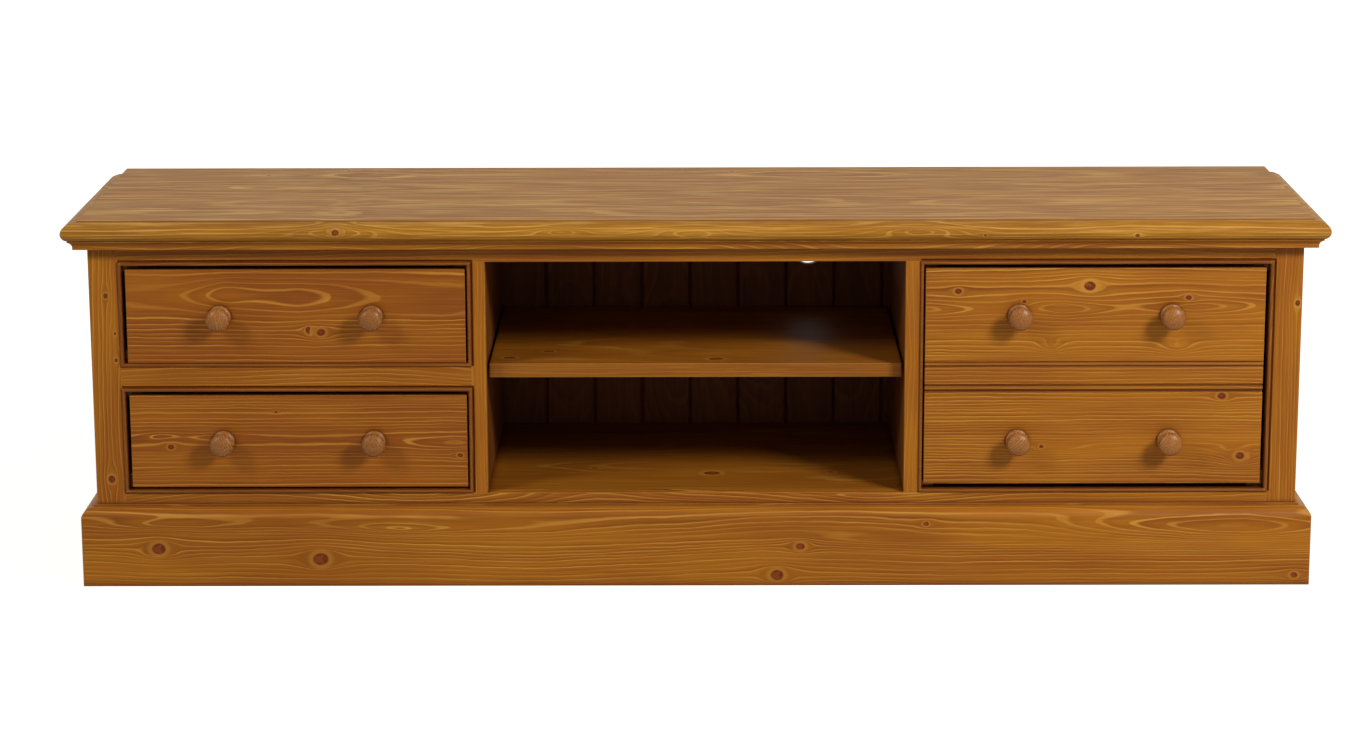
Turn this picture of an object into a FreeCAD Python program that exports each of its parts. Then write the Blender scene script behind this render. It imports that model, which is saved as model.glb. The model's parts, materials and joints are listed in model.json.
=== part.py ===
import FreeCAD, Part
import os
import re

import Sketcher

# A pine television cabinet. A beaded face frame stands in front of a housed carcase. On the left are
# two dovetailed drawers, in the middle an open bay with a loose shelf and a matchboard back, and on
# the right one deep drawer whose front is worked to look like two drawers.
#
# X runs to the right, Y to the back and Z up. The origin is on the floor, under the middle of the
# whole piece, and every place along Y below is counted from the front of the face frame.
# All sizes are in millimetres.

SIZES = {
    # The whole piece.
    "height": 537,
    "carcase_width": 1735,
    "carcase_depth": 440,
    # The top, with its thumb moulding along the front and the ends.
    "overhang": 32.5,
    "top_thick": 28,
    "thumb_width": 21.5,
    "thumb_step": 1.5,
    "thumb_brow": 2.5,
    "thumb_stop": 40,
    # The bed moulding under the top.
    "bed_width": 24.5,
    "bed_foot": 18,
    "bed_height": 13,
    "bed_fillet": 4,
    "bed_lip": 1.5,
    "bed_hollow": 9,
    # The carcase boards.
    "board": 20,
    "bay_width": 602,
    "floor_level": 134,
    "housing": 6,
    "back_rail": 40,
    "cleat": 20,
    "cleat_inset": 20,
    # The face frame and its beads.
    "frame_thick": 20,
    "outer_stile": 41.5,
    "mid_stile": 20.5,
    "top_rail": 34.5,
    "middle_rail": 31.5,
    "bottom_rail": 45,
    "lower_extra": 3,
    "tenon": 15,
    "tenon_thick": 7,
    "tenon_shoulder": 5,
    "quirk": 3.5,
    "bead": 5,
    "bead_proud": 2.5,
    "bead_round_share": 0.44,
    # The plinth.
    "plinth_thick": 21,
    "plinth_height": 118.5,
    "plinth_ledge": 4,
    "plinth_step": 3,
    "plinth_roll": 12.5,
    "plinth_round": 17,
    # The matchboard back and the hole for cables.
    "back_thick": 12,
    "rebate": 10,
    "match_pitch": 74.7,
    "match_offset": 8.7,
    "vee_share": 0.75,
    "tongue": 6,
    "tongue_thick": 4,
    "tongue_play": 0.5,
    "hole_share": 0.58,
    "hole_shift": 3.5,
    "hole_drop": 97,
    "hole_radius": 25,
    # The loose shelf on its pegs.
    "shelf_drop": 1,
    "shelf_thick": 20,
    "shelf_inset": 22,
    "shelf_play": 4,
    "peg_radius": 4,
    "peg_sink": 12,
    "peg_stand": 14,
    "peg_inset": 60,
    # The drawers.
    "front_thick": 20,
    "gap_above": 6,
    "gap_outer": 6,
    "gap_inner": 3,
    "lift_upper": 1,
    "lift_lower": 4.5,
    "lift_deep": 8,
    "behind_drawer": 28,
    "drawer_side": 12,
    "side_drop": 8,
    "lap": 6,
    "tail_share": 0.6,
    "waist_share": 0.46,
    "bottom_rise": 14,
    "bottom_thick": 6,
    "panel_groove": 5,
    # The false rail worked on the deep front.
    "false_rail": 21.5,
    "false_quirk": 4.5,
    "false_gap_upper": 1.5,
    "false_gap_lower": 4,
    "false_gap_deep": 4,
    "false_round_share": 0.6,
    # What the drawers run on.
    "run_gap": 0.3,
    "guide_gap": 1,
    "kick_gap": 1.5,
    "runner_lip": 3,
    "runner_height": 20,
    "guide_height": 15,
    "stop_height": 40,
    # The turned knobs.
    "knob_stand": 36,
    "knob_foot": 16,
    "knob_foot_thick": 4,
    "knob_cove_share": 1.05,
    "knob_head": 15,
    "knob_shoulder": 16,
    "knob_rim_share": 1.45,
    "knob_face": 14,
    "knob_dome": 4,
    "knob_dowel": 5,
    "knob_dowel_length": 12,
    "knob_spacing": 218,
    # Working clearances.
    "fit_gap": 0.1,
    "overrun": 5,
}

# Places worked out from the sizes. Left and right are alike, so a place across the piece is counted
# from its middle.
PLACES = {
    "face": "(knob_stand - carcase_depth) / 2",
    "half": "carcase_width / 2",
    "top_under": "height - top_thick",
    "core_reach": "overhang - thumb_width",
    "nose_radius": "(top_thick - thumb_step - thumb_brow) / 2",
    "panel_in": "half - board",
    "back_face": "carcase_depth - back_thick",
    "rail_face": "back_face - board",
    "bay_half": "bay_width / 2",
    "partition_out": "bay_half + board",
    "floor_under": "floor_level - board",
    "opening_in": "bay_half + mid_stile",
    "opening_out": "half - outer_stile",
    "opening_top": "top_under - top_rail",
    "open_height": "opening_top - floor_level - middle_rail",
    "middle_low": "floor_level + (open_height + lower_extra) / 2",
    "middle_high": "middle_low + middle_rail",
    "drawer_in": "opening_in + bead + gap_inner",
    "drawer_out": "opening_out - bead - gap_outer",
    "upper_base": "middle_high + bead + lift_upper",
    "lower_base": "floor_level + bead + lift_lower",
    "deep_base": "floor_level + bead + lift_deep",
    "upper_height": "opening_top - bead - gap_above - upper_base",
    "lower_height": "middle_low - bead - gap_above - lower_base",
    "deep_height": "opening_top - bead - gap_above - deep_base",
    "drawer_length": "back_face - behind_drawer",
    "knob_middle": "(drawer_in + drawer_out) / 2",
    "knob_high": "upper_base + upper_height / 2",
    "knob_low": "lower_base + lower_height / 2",
    "match_half": "panel_in + rebate",
    "tongue_front": "(back_thick - tongue_thick) / 2",
    "vee": "tongue_front * vee_share",
    "match_foot": "floor_under - back_rail / 2",
    "hole_level": "top_under - hole_drop",
    "shelf_level": "middle_high - shelf_drop - shelf_thick",
    "shelf_back": "back_face - shelf_play",
}

# How many dovetails hold each corner of a drawer.
SMALL_TAILS = 3
DEEP_TAILS = 7

doc = FreeCAD.newDocument("television_cabinet")
sheet = doc.addObject("Spreadsheet::Sheet", "Sizes")
for row, (size, amount) in enumerate(SIZES.items(), start=1):
    sheet.set(f"A{row}", size)
    sheet.set(f"B{row}", str(amount))
    sheet.setAlias(f"B{row}", size)
doc.recompute()

nodes = []


def formula(text):
    """Writes a formula of sizes and places in terms of the sheet's cells."""

    def cell(match):
        word = match.group()
        if word in SIZES:
            return f"Sizes.{word}"
        if word in PLACES:
            return f"({formula(PLACES[word])})"
        return word

    return re.sub(r"[a-z_]+", cell, str(text))


def number(text):
    """Gives the present value of a formula."""
    value = sheet.evalExpression(formula(text))
    return float(getattr(value, "Value", value))


def bind(item, name, text):
    """Ties a property of an object to a formula."""
    item.setExpression(name, formula(text))


def place(item, across="0", back="0", up="0"):
    """Puts an object at its place, counted from the front of the face frame."""
    bind(item, ".Placement.Base.x", across)
    bind(item, ".Placement.Base.y", f"face + {back}")
    bind(item, ".Placement.Base.z", up)
    return item


def node(item, label):
    """Keeps an object as one named piece of the cabinet."""
    item.Label = label
    nodes.append(item)
    return item


def box(name, across, back, up):
    """Makes a board between a low and a high place along each axis."""
    piece = doc.addObject("Part::Box", name)
    for size, (low, high) in zip(("Length", "Width", "Height"), (across, back, up)):
        bind(piece, size, f"({high}) - ({low})")
    return place(piece, across[0], f"({back[0]})", up[0])


def wedge(name, back, front_across, front_up, back_across, back_up):
    """Makes a block that tapers along Y from one rectangle to another."""
    piece = doc.addObject("Part::Wedge", name)
    sides = {
        "Ymin": back[0],
        "Ymax": back[1],
        "Xmin": front_across[0],
        "Xmax": front_across[1],
        "Zmin": front_up[0],
        "Zmax": front_up[1],
        "X2min": back_across[0],
        "X2max": back_across[1],
        "Z2min": back_up[0],
        "Z2max": back_up[1],
    }
    for side, text in sides.items():
        bind(piece, side, text)
    return place(piece)


def fuse(name, pieces):
    """Joins several shapes into one board."""
    whole = doc.addObject("Part::MultiFuse", name)
    whole.Shapes = pieces
    whole.Refine = True
    return whole


def cut(name, base, tools):
    """Takes tools out of a base."""
    piece = doc.addObject("Part::Cut", name)
    piece.Base = base
    piece.Tool = tools[0] if len(tools) == 1 else fuse(f"{name}_tools", tools)
    return piece


def group(label, pieces):
    """Keeps several separate solids of one kind as one named piece."""
    together = doc.addObject("Part::Compound", label)
    together.Links = pieces
    return node(together, label)


def mirrored(label, source):
    """Makes the right-hand twin of a left-hand piece."""
    twin = doc.addObject("Part::Mirroring", label)
    twin.Source = source
    twin.Normal = (1, 0, 0)
    return twin


def copy_of(name, source, across="0", back="0", up="0"):
    """Puts one more of the same piece at another place."""
    link = doc.addObject("App::Link", name)
    link.LinkedObject = source
    return place(link, across, back, up)


def body_at_face(name):
    """Starts a body whose own zero along Y is the front of the face frame."""
    return place(doc.addObject("PartDesign::Body", name))


def arc_between(start, end, radius, turn):
    """Makes the shorter arc from start to end, turning left for 1 and right for -1."""
    chord = end.sub(start)
    middle = start.add(end).multiply(0.5)
    height = max(radius**2 - (chord.Length / 2) ** 2, 0) ** 0.5
    side = FreeCAD.Vector(-chord.y, chord.x, 0).normalize().multiply(turn * height)
    centre = middle.add(side)
    outward = middle.sub(centre) if height else side
    crest = centre.add(outward.normalize().multiply(radius))
    return Part.Arc(start, crest, end)


def sketch(body, name, plane, points, offset="0", closed=True):
    """Draws an outline on one of the body's own planes, with each corner tied to its sizes.

    A point is (x, y), or (x, y, radius, turn) where an arc leads to it from the point before.
    """
    drawing = body.newObject("Sketcher::SketchObject", name)
    planes = {feature.Role: feature for feature in body.Origin.OriginFeatures}
    drawing.AttachmentSupport = (planes[plane], [""])
    drawing.MapMode = "FlatFace"
    bind(drawing, ".AttachmentOffset.Base.z", offset)
    spots = [FreeCAD.Vector(number(point[0]), number(point[1]), 0) for point in points]
    edges = range(len(points) if closed else len(points) - 1)
    ends = []
    for edge in edges:
        target = (edge + 1) % len(points)
        start, end = spots[edge], spots[target]
        if len(points[target]) == 2:
            drawing.addGeometry(Part.LineSegment(start, end))
            ends.append((1, 2))
            continue
        radius, turn = points[target][2:]
        drawing.addGeometry(arc_between(start, end, number(radius), turn))
        ends.append((1, 2) if turn > 0 else (2, 1))
        drawing.addConstraint(Sketcher.Constraint("Radius", edge, number(radius)))
        bind(drawing, f"Constraints[{drawing.ConstraintCount - 1}]", radius)
    for edge in edges:
        following = (edge + 1) % len(points)
        if following < len(ends):
            joint = ("Coincident", edge, ends[edge][1], following, ends[following][0])
            drawing.addConstraint(Sketcher.Constraint(*joint))
    for corner, (spot, point) in enumerate(zip(spots, points)):
        edge, end = (corner, 0) if corner < len(ends) else (corner - 1, 1)
        for kind, amount, text in (("DistanceX", spot.x, point[0]), ("DistanceY", spot.y, point[1])):
            drawing.addConstraint(Sketcher.Constraint(kind, -1, 1, edge, ends[edge][end], amount))
            bind(drawing, f"Constraints[{drawing.ConstraintCount - 1}]", text)
    return drawing


def pad(body, drawing, length, reverse=False):
    """Gives a drawing its length."""
    solid = body.newObject("PartDesign::Pad", f"{drawing.Name}_pad")
    solid.Profile = drawing
    bind(solid, "Length", length)
    solid.Reversed = reverse
    return solid


def pocket_through(body, drawing):
    """Cuts a drawing right through the body, both ways from its plane."""
    hollow = body.newObject("PartDesign::Pocket", f"{drawing.Name}_pocket")
    hollow.Profile = drawing
    hollow.Type = "ThroughAll"
    hollow.Midplane = True
    return hollow


def mitre(front):
    """Gives the corners, in plan, of what the left mitre takes off the front or the side piece."""
    near = ("-half + overrun", "overrun")
    far = ("-half - overhang - overrun", "-overhang - overrun")
    spare = (far[0], near[1]) if front else (near[0], far[1])
    return [near, far, spare]


def moulding(prefix, profile):
    """Makes a moulding of one profile along the front and both ends, mitred at the corners.

    The profile lists (reach, height) and any arc, where reach is counted out from the carcase.
    """

    def drawn(base):
        return [(f"{base} - ({point[0]})", *point[1:]) for point in profile]

    front = body_at_face(f"{prefix}_front")
    outline = sketch(front, f"{prefix}_front_profile", "YZ_Plane", drawn("0"), "-half - overhang")
    pad(front, outline, "carcase_width + 2 * overhang")
    left_off = mitre(front=True)
    right_off = [(f"-({x})", y) for x, y in left_off]
    pocket_through(front, sketch(front, f"{prefix}_front_mitre_left", "XY_Plane", left_off))
    pocket_through(front, sketch(front, f"{prefix}_front_mitre_right", "XY_Plane", right_off))
    node(front, f"{prefix}_front")

    left = body_at_face(f"{prefix}_left")
    outline = sketch(left, f"{prefix}_left_profile", "XZ_Plane", drawn("-half"), "overhang")
    pad(left, outline, "carcase_depth + overhang", reverse=True)
    pocket_through(left, sketch(left, f"{prefix}_left_mitre", "XY_Plane", mitre(front=False)))
    node(left, f"{prefix}_left")
    node(mirrored(f"{prefix}_right", left), f"{prefix}_right")


def make_top():
    """The top board, its moulded edge run round the front and stopped short of the back."""
    body = body_at_face("top_board")
    side, front = "half + core_reach", "-core_reach"
    back = "carcase_depth"
    core = [(f"-({side})", front), (side, front), (side, back), (f"-({side})", back)]
    pad(body, sketch(body, "top_core", "XY_Plane", core, "top_under"), "top_thick")

    # The upper curve starts level at the step and meets the nose where both run the same way.
    width = "(thumb_width - nose_radius)"
    sweep = f"({width}^2 / (2 * thumb_brow) + nose_radius + thumb_brow / 2)"
    meet = f"{sweep} / ({sweep} - nose_radius)"
    meet_out = f"core_reach + {width} * {meet}"
    fall = f"{sweep} - ({sweep} - nose_radius - thumb_brow) * {meet}"
    edge = "-half"
    profile = [
        (f"{edge}", "top_under"),
        (f"{edge} - overhang + nose_radius", "top_under"),
        (f"{edge} - ({meet_out})", f"height - thumb_step - ({fall})", "nose_radius", -1),
        (f"{edge} - core_reach", "height - thumb_step", sweep, -1),
        (f"{edge}", "height - thumb_step"),
    ]
    end = "carcase_depth - thumb_stop"
    section = sketch(body, "thumb_profile", "XZ_Plane", profile, f"-({end})")
    route = [(f"-({side})", end), (f"-({side})", front), (side, front), (side, end)]
    path = sketch(body, "thumb_path", "XY_Plane", route, "top_under", closed=False)
    thumb = body.newObject("PartDesign::AdditivePipe", "thumb_moulding")
    thumb.Profile = section
    thumb.Spine = (path, ["Edge1", "Edge2", "Edge3"])
    thumb.Transition = "Right corner"
    node(body, "top_board")


def make_mouldings():
    """The bed moulding under the top, and the plinth with its moulded upper edge."""
    bed_low = "top_under - bed_height"
    moulding(
        "bed_moulding",
        [
            ("0", bed_low),
            ("bed_foot", bed_low),
            ("bed_foot", f"{bed_low} + bed_fillet"),
            ("bed_width", "top_under - bed_lip", "bed_hollow", 1),
            ("bed_width", "top_under"),
            ("0", "top_under"),
        ],
    )
    shoulder = "plinth_height - plinth_step"
    moulding(
        "plinth",
        [
            ("0", "0"),
            ("plinth_thick", "0"),
            ("plinth_thick", f"{shoulder} - plinth_roll"),
            ("plinth_ledge", shoulder, "plinth_round", -1),
            ("plinth_ledge", "plinth_height"),
            ("0", "plinth_height"),
        ],
    )


def make_carcase():
    """The boards behind the face frame."""
    inside = ("frame_thick", "back_face")
    full = ("frame_thick", "carcase_depth")
    panel = box("panel_blank", ("-half", "-panel_in"), full, ("0", "top_under"))
    rebate = box(
        "panel_rebate",
        ("-match_half", "-panel_in + overrun"),
        ("back_face", "carcase_depth + overrun"),
        ("-overrun", "top_under + overrun"),
    )
    housing = box(
        "panel_housing",
        ("-panel_in - housing", "-panel_in + overrun"),
        inside,
        ("floor_under", "floor_level"),
    )
    left = node(cut("side_panel_left", panel, [rebate, housing]), "side_panel_left")
    node(mirrored("side_panel_right", left), "side_panel_right")

    partition = box(
        "partition_blank",
        ("-partition_out", "-bay_half"),
        inside,
        ("floor_level - housing", "top_under"),
    )
    notch = box(
        "partition_notch",
        ("-partition_out - overrun", "-bay_half + overrun"),
        ("rail_face", "back_face + overrun"),
        ("top_under - back_rail", "top_under + overrun"),
    )
    holes = [peg(f"peg_hole_{where}", back, "fit_gap") for where, back in PEG_ROWS.items()]
    left = node(cut("partition_left", partition, [notch, *holes]), "partition_left")
    node(mirrored("partition_right", left), "partition_right")

    reach = "panel_in + housing"
    floor = box("floor_blank", (f"-({reach})", reach), inside, ("floor_under", "floor_level"))
    channel = ("floor_level - housing", "floor_level + overrun")
    channels = [
        box("channel_left", ("-partition_out", "-bay_half"), inside, channel),
        box("channel_right", ("bay_half", "partition_out"), inside, channel),
    ]
    node(cut("bottom_board", floor, channels), "bottom_board")

    rail_places = {
        "back_rail_top": "top_under - back_rail",
        "back_rail_bottom": "floor_under - back_rail",
    }
    for label, low in rail_places.items():
        up = (low, f"{low} + back_rail")
        node(box(label, ("-panel_in", "panel_in"), ("rail_face", "back_face"), up), label)

    under = ("0", "floor_under")
    bearer = box("bearer_left", ("-partition_out", "-bay_half"), ("frame_thick", "rail_face"), under)
    group("base_bearers", [bearer, mirrored("bearer_right", bearer)])

    cleat_places = {
        "outer": ("-panel_in", "-panel_in + cleat"),
        "inner": ("-partition_out - cleat", "-partition_out"),
    }
    cleat_back = ("frame_thick + cleat_inset", "rail_face - cleat_inset")
    cleats = []
    for where, across in cleat_places.items():
        bar = box(f"cleat_{where}", across, cleat_back, ("top_under - cleat", "top_under"))
        cleats += [bar, mirrored(f"cleat_{where}_right", bar)]
    group("top_cleats", cleats)


PEG_ROWS = {"front": "shelf_inset + peg_inset", "back": "shelf_back - peg_inset"}


def peg(name, back, ease="0"):
    """A dowel in the inner face of the left partition, or the hole for it."""
    pin = doc.addObject("Part::Cylinder", name)
    pin.Placement.Rotation = FreeCAD.Rotation(FreeCAD.Vector(0, 1, 0), 90)
    bind(pin, "Radius", f"peg_radius + {ease}")
    bind(pin, "Height", f"peg_sink + peg_stand + {ease}")
    return place(pin, f"-bay_half - peg_sink - {ease}", f"({back})", "shelf_level - peg_radius")


def make_shelf():
    """The loose shelf of the bay, lying on four dowels."""
    reach = "bay_half - shelf_play"
    shelf = box(
        "centre_shelf",
        (f"-({reach})", reach),
        ("shelf_inset", "shelf_back"),
        ("shelf_level", "shelf_level + shelf_thick"),
    )
    node(shelf, "centre_shelf")
    pegs = []
    for where, back in PEG_ROWS.items():
        pin = peg(f"peg_{where}", back)
        pegs += [pin, mirrored(f"peg_{where}_right", pin)]
    group("shelf_pegs", pegs)


def opening_quirk(name, across, up):
    """The sunk bevel that runs round an opening of the face frame, mitred in its corners."""
    grow = "quirk + overrun"
    wide = (f"{across[0]} - {grow}", f"{across[1]} + {grow}")
    tall = (f"{up[0]} - {grow}", f"{up[1]} + {grow}")
    return wedge(name, ("-overrun", "quirk"), wide, tall, across, up)


OPENINGS = {
    "upper_left": (("-opening_out", "-opening_in"), ("middle_high", "opening_top")),
    "lower_left": (("-opening_out", "-opening_in"), ("floor_level", "middle_low")),
    "right": (("opening_in", "opening_out"), ("floor_level", "opening_top")),
}

def tenon(name, across, up, shoulder, out, ease="0"):
    """The tenon at one end of a rail or stile, or the mortise that takes it.

    The bar's own width is given as two places, across for a stile and up for a rail, and the other
    is None. From the shoulder the tenon runs in the direction out, 1 or -1.
    """
    tip = f"{shoulder} + {out} * (tenon + {ease})"
    along = (shoulder, tip) if out > 0 else (tip, shoulder)
    low, high = across or up
    narrow = (f"{low} + tenon_shoulder", f"{high} - tenon_shoulder")
    back = ("(frame_thick - tenon_thick) / 2", "(frame_thick + tenon_thick) / 2")
    return box(name, narrow, back, along) if across else box(name, along, back, narrow)


RAILS = {
    "top_rail": (("-opening_out", "opening_out"), ("opening_top", "top_under")),
    "middle_rail": (("-opening_out", "-opening_in"), ("middle_low", "middle_high")),
    "bottom_rail": (("-opening_out", "opening_out"), ("floor_level - bottom_rail", "floor_level")),
}

MIDDLE_STILES = {
    "mid_stile_left": ("-opening_in", "-bay_half"),
    "mid_stile_right": ("bay_half", "opening_in"),
}

OUTER_STILES = {
    "outer_stile_left": (("-half", "-opening_out"), "-opening_out", -1),
    "outer_stile_right": (("opening_out", "half"), "opening_out", 1),
}


def make_face_frame():
    """Stiles and rails, tenoned together, with a sunk quirk round each drawer opening."""
    thick = ("0", "frame_thick")
    quirks = {name: opening_quirk(f"quirk_{name}", *opening) for name, opening in OPENINGS.items()}
    every = list(quirks.values())
    left = [quirk for name, quirk in quirks.items() if name != "right"]

    for label, (across, up) in RAILS.items():
        blank = [
            box(f"{label}_bar", across, thick, up),
            tenon(f"{label}_tenon_left", None, up, across[0], -1),
            tenon(f"{label}_tenon_right", None, up, across[1], 1),
        ]
        mortises = []
        if label != "middle_rail":
            end = ("opening_top", 1) if label == "top_rail" else ("floor_level", -1)
            for stile, place_across in MIDDLE_STILES.items():
                mortises.append(tenon(f"{label}_{stile}_mortise", place_across, None, *end, "fit_gap"))
        tools = (left if label == "middle_rail" else every) + mortises
        node(cut(label, fuse(f"{label}_blank", blank), tools), label)

    for label, across in MIDDLE_STILES.items():
        blank = [
            box(f"{label}_bar", across, thick, ("floor_level", "opening_top")),
            tenon(f"{label}_foot", across, None, "floor_level", -1),
            tenon(f"{label}_head", across, None, "opening_top", 1),
        ]
        tools = [quirks["right"]]
        if label == "mid_stile_left":
            rail_up = RAILS["middle_rail"][1]
            tools = left + [tenon(f"{label}_mortise", None, rail_up, across[0], 1, "fit_gap")]
        node(cut(label, fuse(f"{label}_blank", blank), tools), label)

    for label, (across, inner, out) in OUTER_STILES.items():
        bar = box(f"{label}_bar", across, thick, ("0", "top_under"))
        tools = [quirks["right"]] if out > 0 else list(left)
        for rail, (rail_across, up) in RAILS.items():
            if inner in rail_across:
                tools.append(tenon(f"{label}_{rail}_mortise", None, up, inner, out, "fit_gap"))
        node(cut(label, bar, tools), label)


def bead_strip(name, corners):
    """One mitred strip of bead, its two long front edges rounded."""
    body = body_at_face(name)
    drawing = sketch(body, f"{name}_outline", "XZ_Plane", corners, "bead_proud")
    strip = pad(body, drawing, "frame_thick + bead_proud", reverse=True)
    doc.recompute()
    front = strip.Shape.BoundBox.YMin + Part.Precision.confusion()
    found = []
    for index, edge in enumerate(strip.Shape.Edges, start=1):
        if edge.BoundBox.YMax < front:
            found.append((edge.Length, f"Edge{index}"))
    rounding = body.newObject("PartDesign::Fillet", f"{name}_round")
    rounding.Base = (strip, [edge for _, edge in sorted(found)[-2:]])
    bind(rounding, "Radius", "bead * bead_round_share")
    return body


def make_beads():
    """A frame of four mitred bead strips lining each drawer opening."""
    for opening, ((left, right), (low, high)) in OPENINGS.items():
        outer = [(left, low), (right, low), (right, high), (left, high)]
        inner = [
            (f"{left} + bead", f"{low} + bead"),
            (f"{right} - bead", f"{low} + bead"),
            (f"{right} - bead", f"{high} - bead"),
            (f"{left} + bead", f"{high} - bead"),
        ]
        strips = []
        for index, side in enumerate(("bottom", "right", "top", "left")):
            after = (index + 1) % len(outer)
            corners = [outer[index], outer[after], inner[after], inner[index]]
            strips.append(bead_strip(f"bead_{opening}_{side}", corners))
        group(f"bead_frame_{opening}", strips)


def match_board(name, width, tongued=True, grooved=True):
    """One upright board of the back, grooved on its left edge, tongued on its right, with V joints."""
    high = "tongue_front + tongue_thick"
    left, right = [("0", "0")], [(width, "0")]
    if tongued:
        right = [
            (f"{width} - vee", "0"),
            (width, "vee"),
            (width, "tongue_front"),
            (f"{width} + tongue", "tongue_front"),
            (f"{width} + tongue", high),
            (width, high),
        ]
    if grooved:
        deep = "tongue + tongue_play"
        left = [
            ("0", high),
            (deep, high),
            (deep, "tongue_front"),
            ("0", "tongue_front"),
            ("0", "vee"),
            ("vee", "0"),
        ]
    board = doc.addObject("PartDesign::Body", name)
    outline = [*right, (width, "back_thick"), ("0", "back_thick"), *left]
    pad(board, sketch(board, f"{name}_outline", "XY_Plane", outline), "top_under - match_foot")
    return board


def make_back():
    """Tongued and grooved boards across the whole back, one with the hole for cables."""
    on_left = int(number("(match_half - match_offset - 2 * tongue) / match_pitch"))
    on_right = int(number("(match_half + match_offset - 2 * tongue) / match_pitch"))
    with_hole = int(number("(bay_half * hole_share + match_offset) / match_pitch"))
    whole = match_board("match_whole", "match_pitch")
    boards = []
    for index in range(-on_left, on_right):
        across = f"-match_offset + {index} * match_pitch"
        board = copy_of(f"match_{index + on_left}", whole, across, "back_face", "match_foot")
        if index == with_hole:
            drill = cable_drill(f"{across} + match_pitch / 2 - hole_shift")
            node(cut("cable_board", board, [drill]), "cable_board")
        else:
            boards.append(board)
    left_rest = f"match_half - match_offset - {on_left} * match_pitch"
    right_rest = f"match_half + match_offset - {on_right} * match_pitch"
    first = match_board("match_first", left_rest, grooved=False)
    place(first, "-match_half", "back_face", "match_foot")
    last = match_board("match_last", right_rest, tongued=False)
    place(last, f"-match_offset + {on_right} * match_pitch", "back_face", "match_foot")
    group("back_boards", [first, *boards, last])


def cable_drill(across):
    """What is drilled out of the back for cables."""
    drill = doc.addObject("Part::Cylinder", "cable_drill")
    drill.Placement.Rotation = FreeCAD.Rotation(FreeCAD.Vector(1, 0, 0), -90)
    bind(drill, "Radius", "hole_radius")
    bind(drill, "Height", "back_thick + 2 * overrun")
    return place(drill, across, "back_face - overrun", "hole_level")


def make_knob_pattern():
    """One turned knob on its own axis, with the dowel that holds it in the drawer front."""
    body = doc.addObject("PartDesign::Body", "knob_pattern")
    neck, rim = "knob_stand - knob_head", "knob_stand - knob_dome"
    cove = f"sqrt(({neck} - knob_foot_thick)^2 + (knob_shoulder - knob_foot)^2) / 2 * knob_cove_share"
    edge = "sqrt((knob_head - knob_dome)^2 + (knob_shoulder - knob_face)^2) / 2 * knob_rim_share"
    profile = [
        ("knob_dowel_length", "0"),
        ("knob_dowel_length", "knob_dowel"),
        ("0", "knob_dowel"),
        ("0", "knob_foot"),
        ("-knob_foot_thick", "knob_foot"),
        (f"-({neck})", "knob_shoulder", cove, -1),
        (f"-({rim})", "knob_face", edge, 1),
        ("-knob_stand", "0", "(knob_face^2 + knob_dome^2) / (2 * knob_dome)", 1),
    ]
    drawing = sketch(body, "knob_profile", "YZ_Plane", profile)
    turned = body.newObject("PartDesign::Revolution", "knob_turned")
    turned.Profile = drawing
    turned.ReferenceAxis = (drawing, ["H_Axis"])
    return body


def tails(name, across, back, base, span, count, wide_at_front):
    """A row of dovetails on one end of a drawer side, waisted where they leave the side."""
    row = []
    for index in range(count):
        pitch = f"({span}) / {count}"
        middle = f"{base} + {pitch} * {index} + {pitch} / 2"
        wide = (f"{middle} - {pitch} * tail_share / 2", f"{middle} + {pitch} * tail_share / 2")
        waist = (f"{middle} - {pitch} * waist_share / 2", f"{middle} + {pitch} * waist_share / 2")
        front_up, back_up = (wide, waist) if wide_at_front else (waist, wide)
        row.append(wedge(f"{name}_{index}", back, across, front_up, across, back_up))
    return row


def plain_front(name, across, base, height):
    """A flat drawer front before its sockets are cut."""
    return box(name, across, ("0", "front_thick"), (base, f"{base} + {height}"))


def worked_front(name, across, base, height):
    """A drawer front with a false rail, quirks, beads and gaps worked across its middle."""
    body = body_at_face(name)
    middle = "(middle_low + middle_high) / 2"
    lower, upper = f"{middle} - false_rail / 2", f"{middle} + false_rail / 2"
    below, above = f"{lower} - false_quirk", f"{upper} + false_quirk"
    bead_low, bead_high = f"{below} - bead", f"{above} + bead"
    crown = "bead * false_round_share"
    sunk = f"({crown} - sqrt(({crown})^2 - (bead / 2)^2))"
    outline = [
        ("0", base),
        ("front_thick", base),
        ("front_thick", f"{base} + {height}"),
        ("0", f"{base} + {height}"),
        ("0", f"{bead_high} + false_gap_upper"),
        ("false_gap_deep", f"{bead_high} + false_gap_upper"),
        ("false_gap_deep", bead_high),
        (sunk, bead_high),
        (sunk, above, crown, 1),
        ("quirk", above),
        ("0", upper),
        ("0", lower),
        ("quirk", below),
        (sunk, below),
        (sunk, bead_low, crown, 1),
        ("false_gap_deep", bead_low),
        ("false_gap_deep", f"{bead_low} - false_gap_lower"),
        ("0", f"{bead_low} - false_gap_lower"),
    ]
    drawing = sketch(body, f"{name}_profile", "YZ_Plane", outline, across[0])
    pad(body, drawing, f"({across[1]}) - ({across[0]})")
    return body


def dowel_holes(label, knob_places):
    """The blind holes in a drawer front for the knobs' dowels."""
    holes = []
    for index, (across, up) in enumerate(knob_places):
        drill = doc.addObject("Part::Cylinder", f"{label}_dowel_hole_{index}")
        drill.Placement.Rotation = FreeCAD.Rotation(FreeCAD.Vector(1, 0, 0), -90)
        bind(drill, "Radius", "knob_dowel + fit_gap")
        bind(drill, "Height", "knob_dowel_length + fit_gap + overrun")
        holes.append(place(drill, across, "-overrun", up))
    return holes


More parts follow.
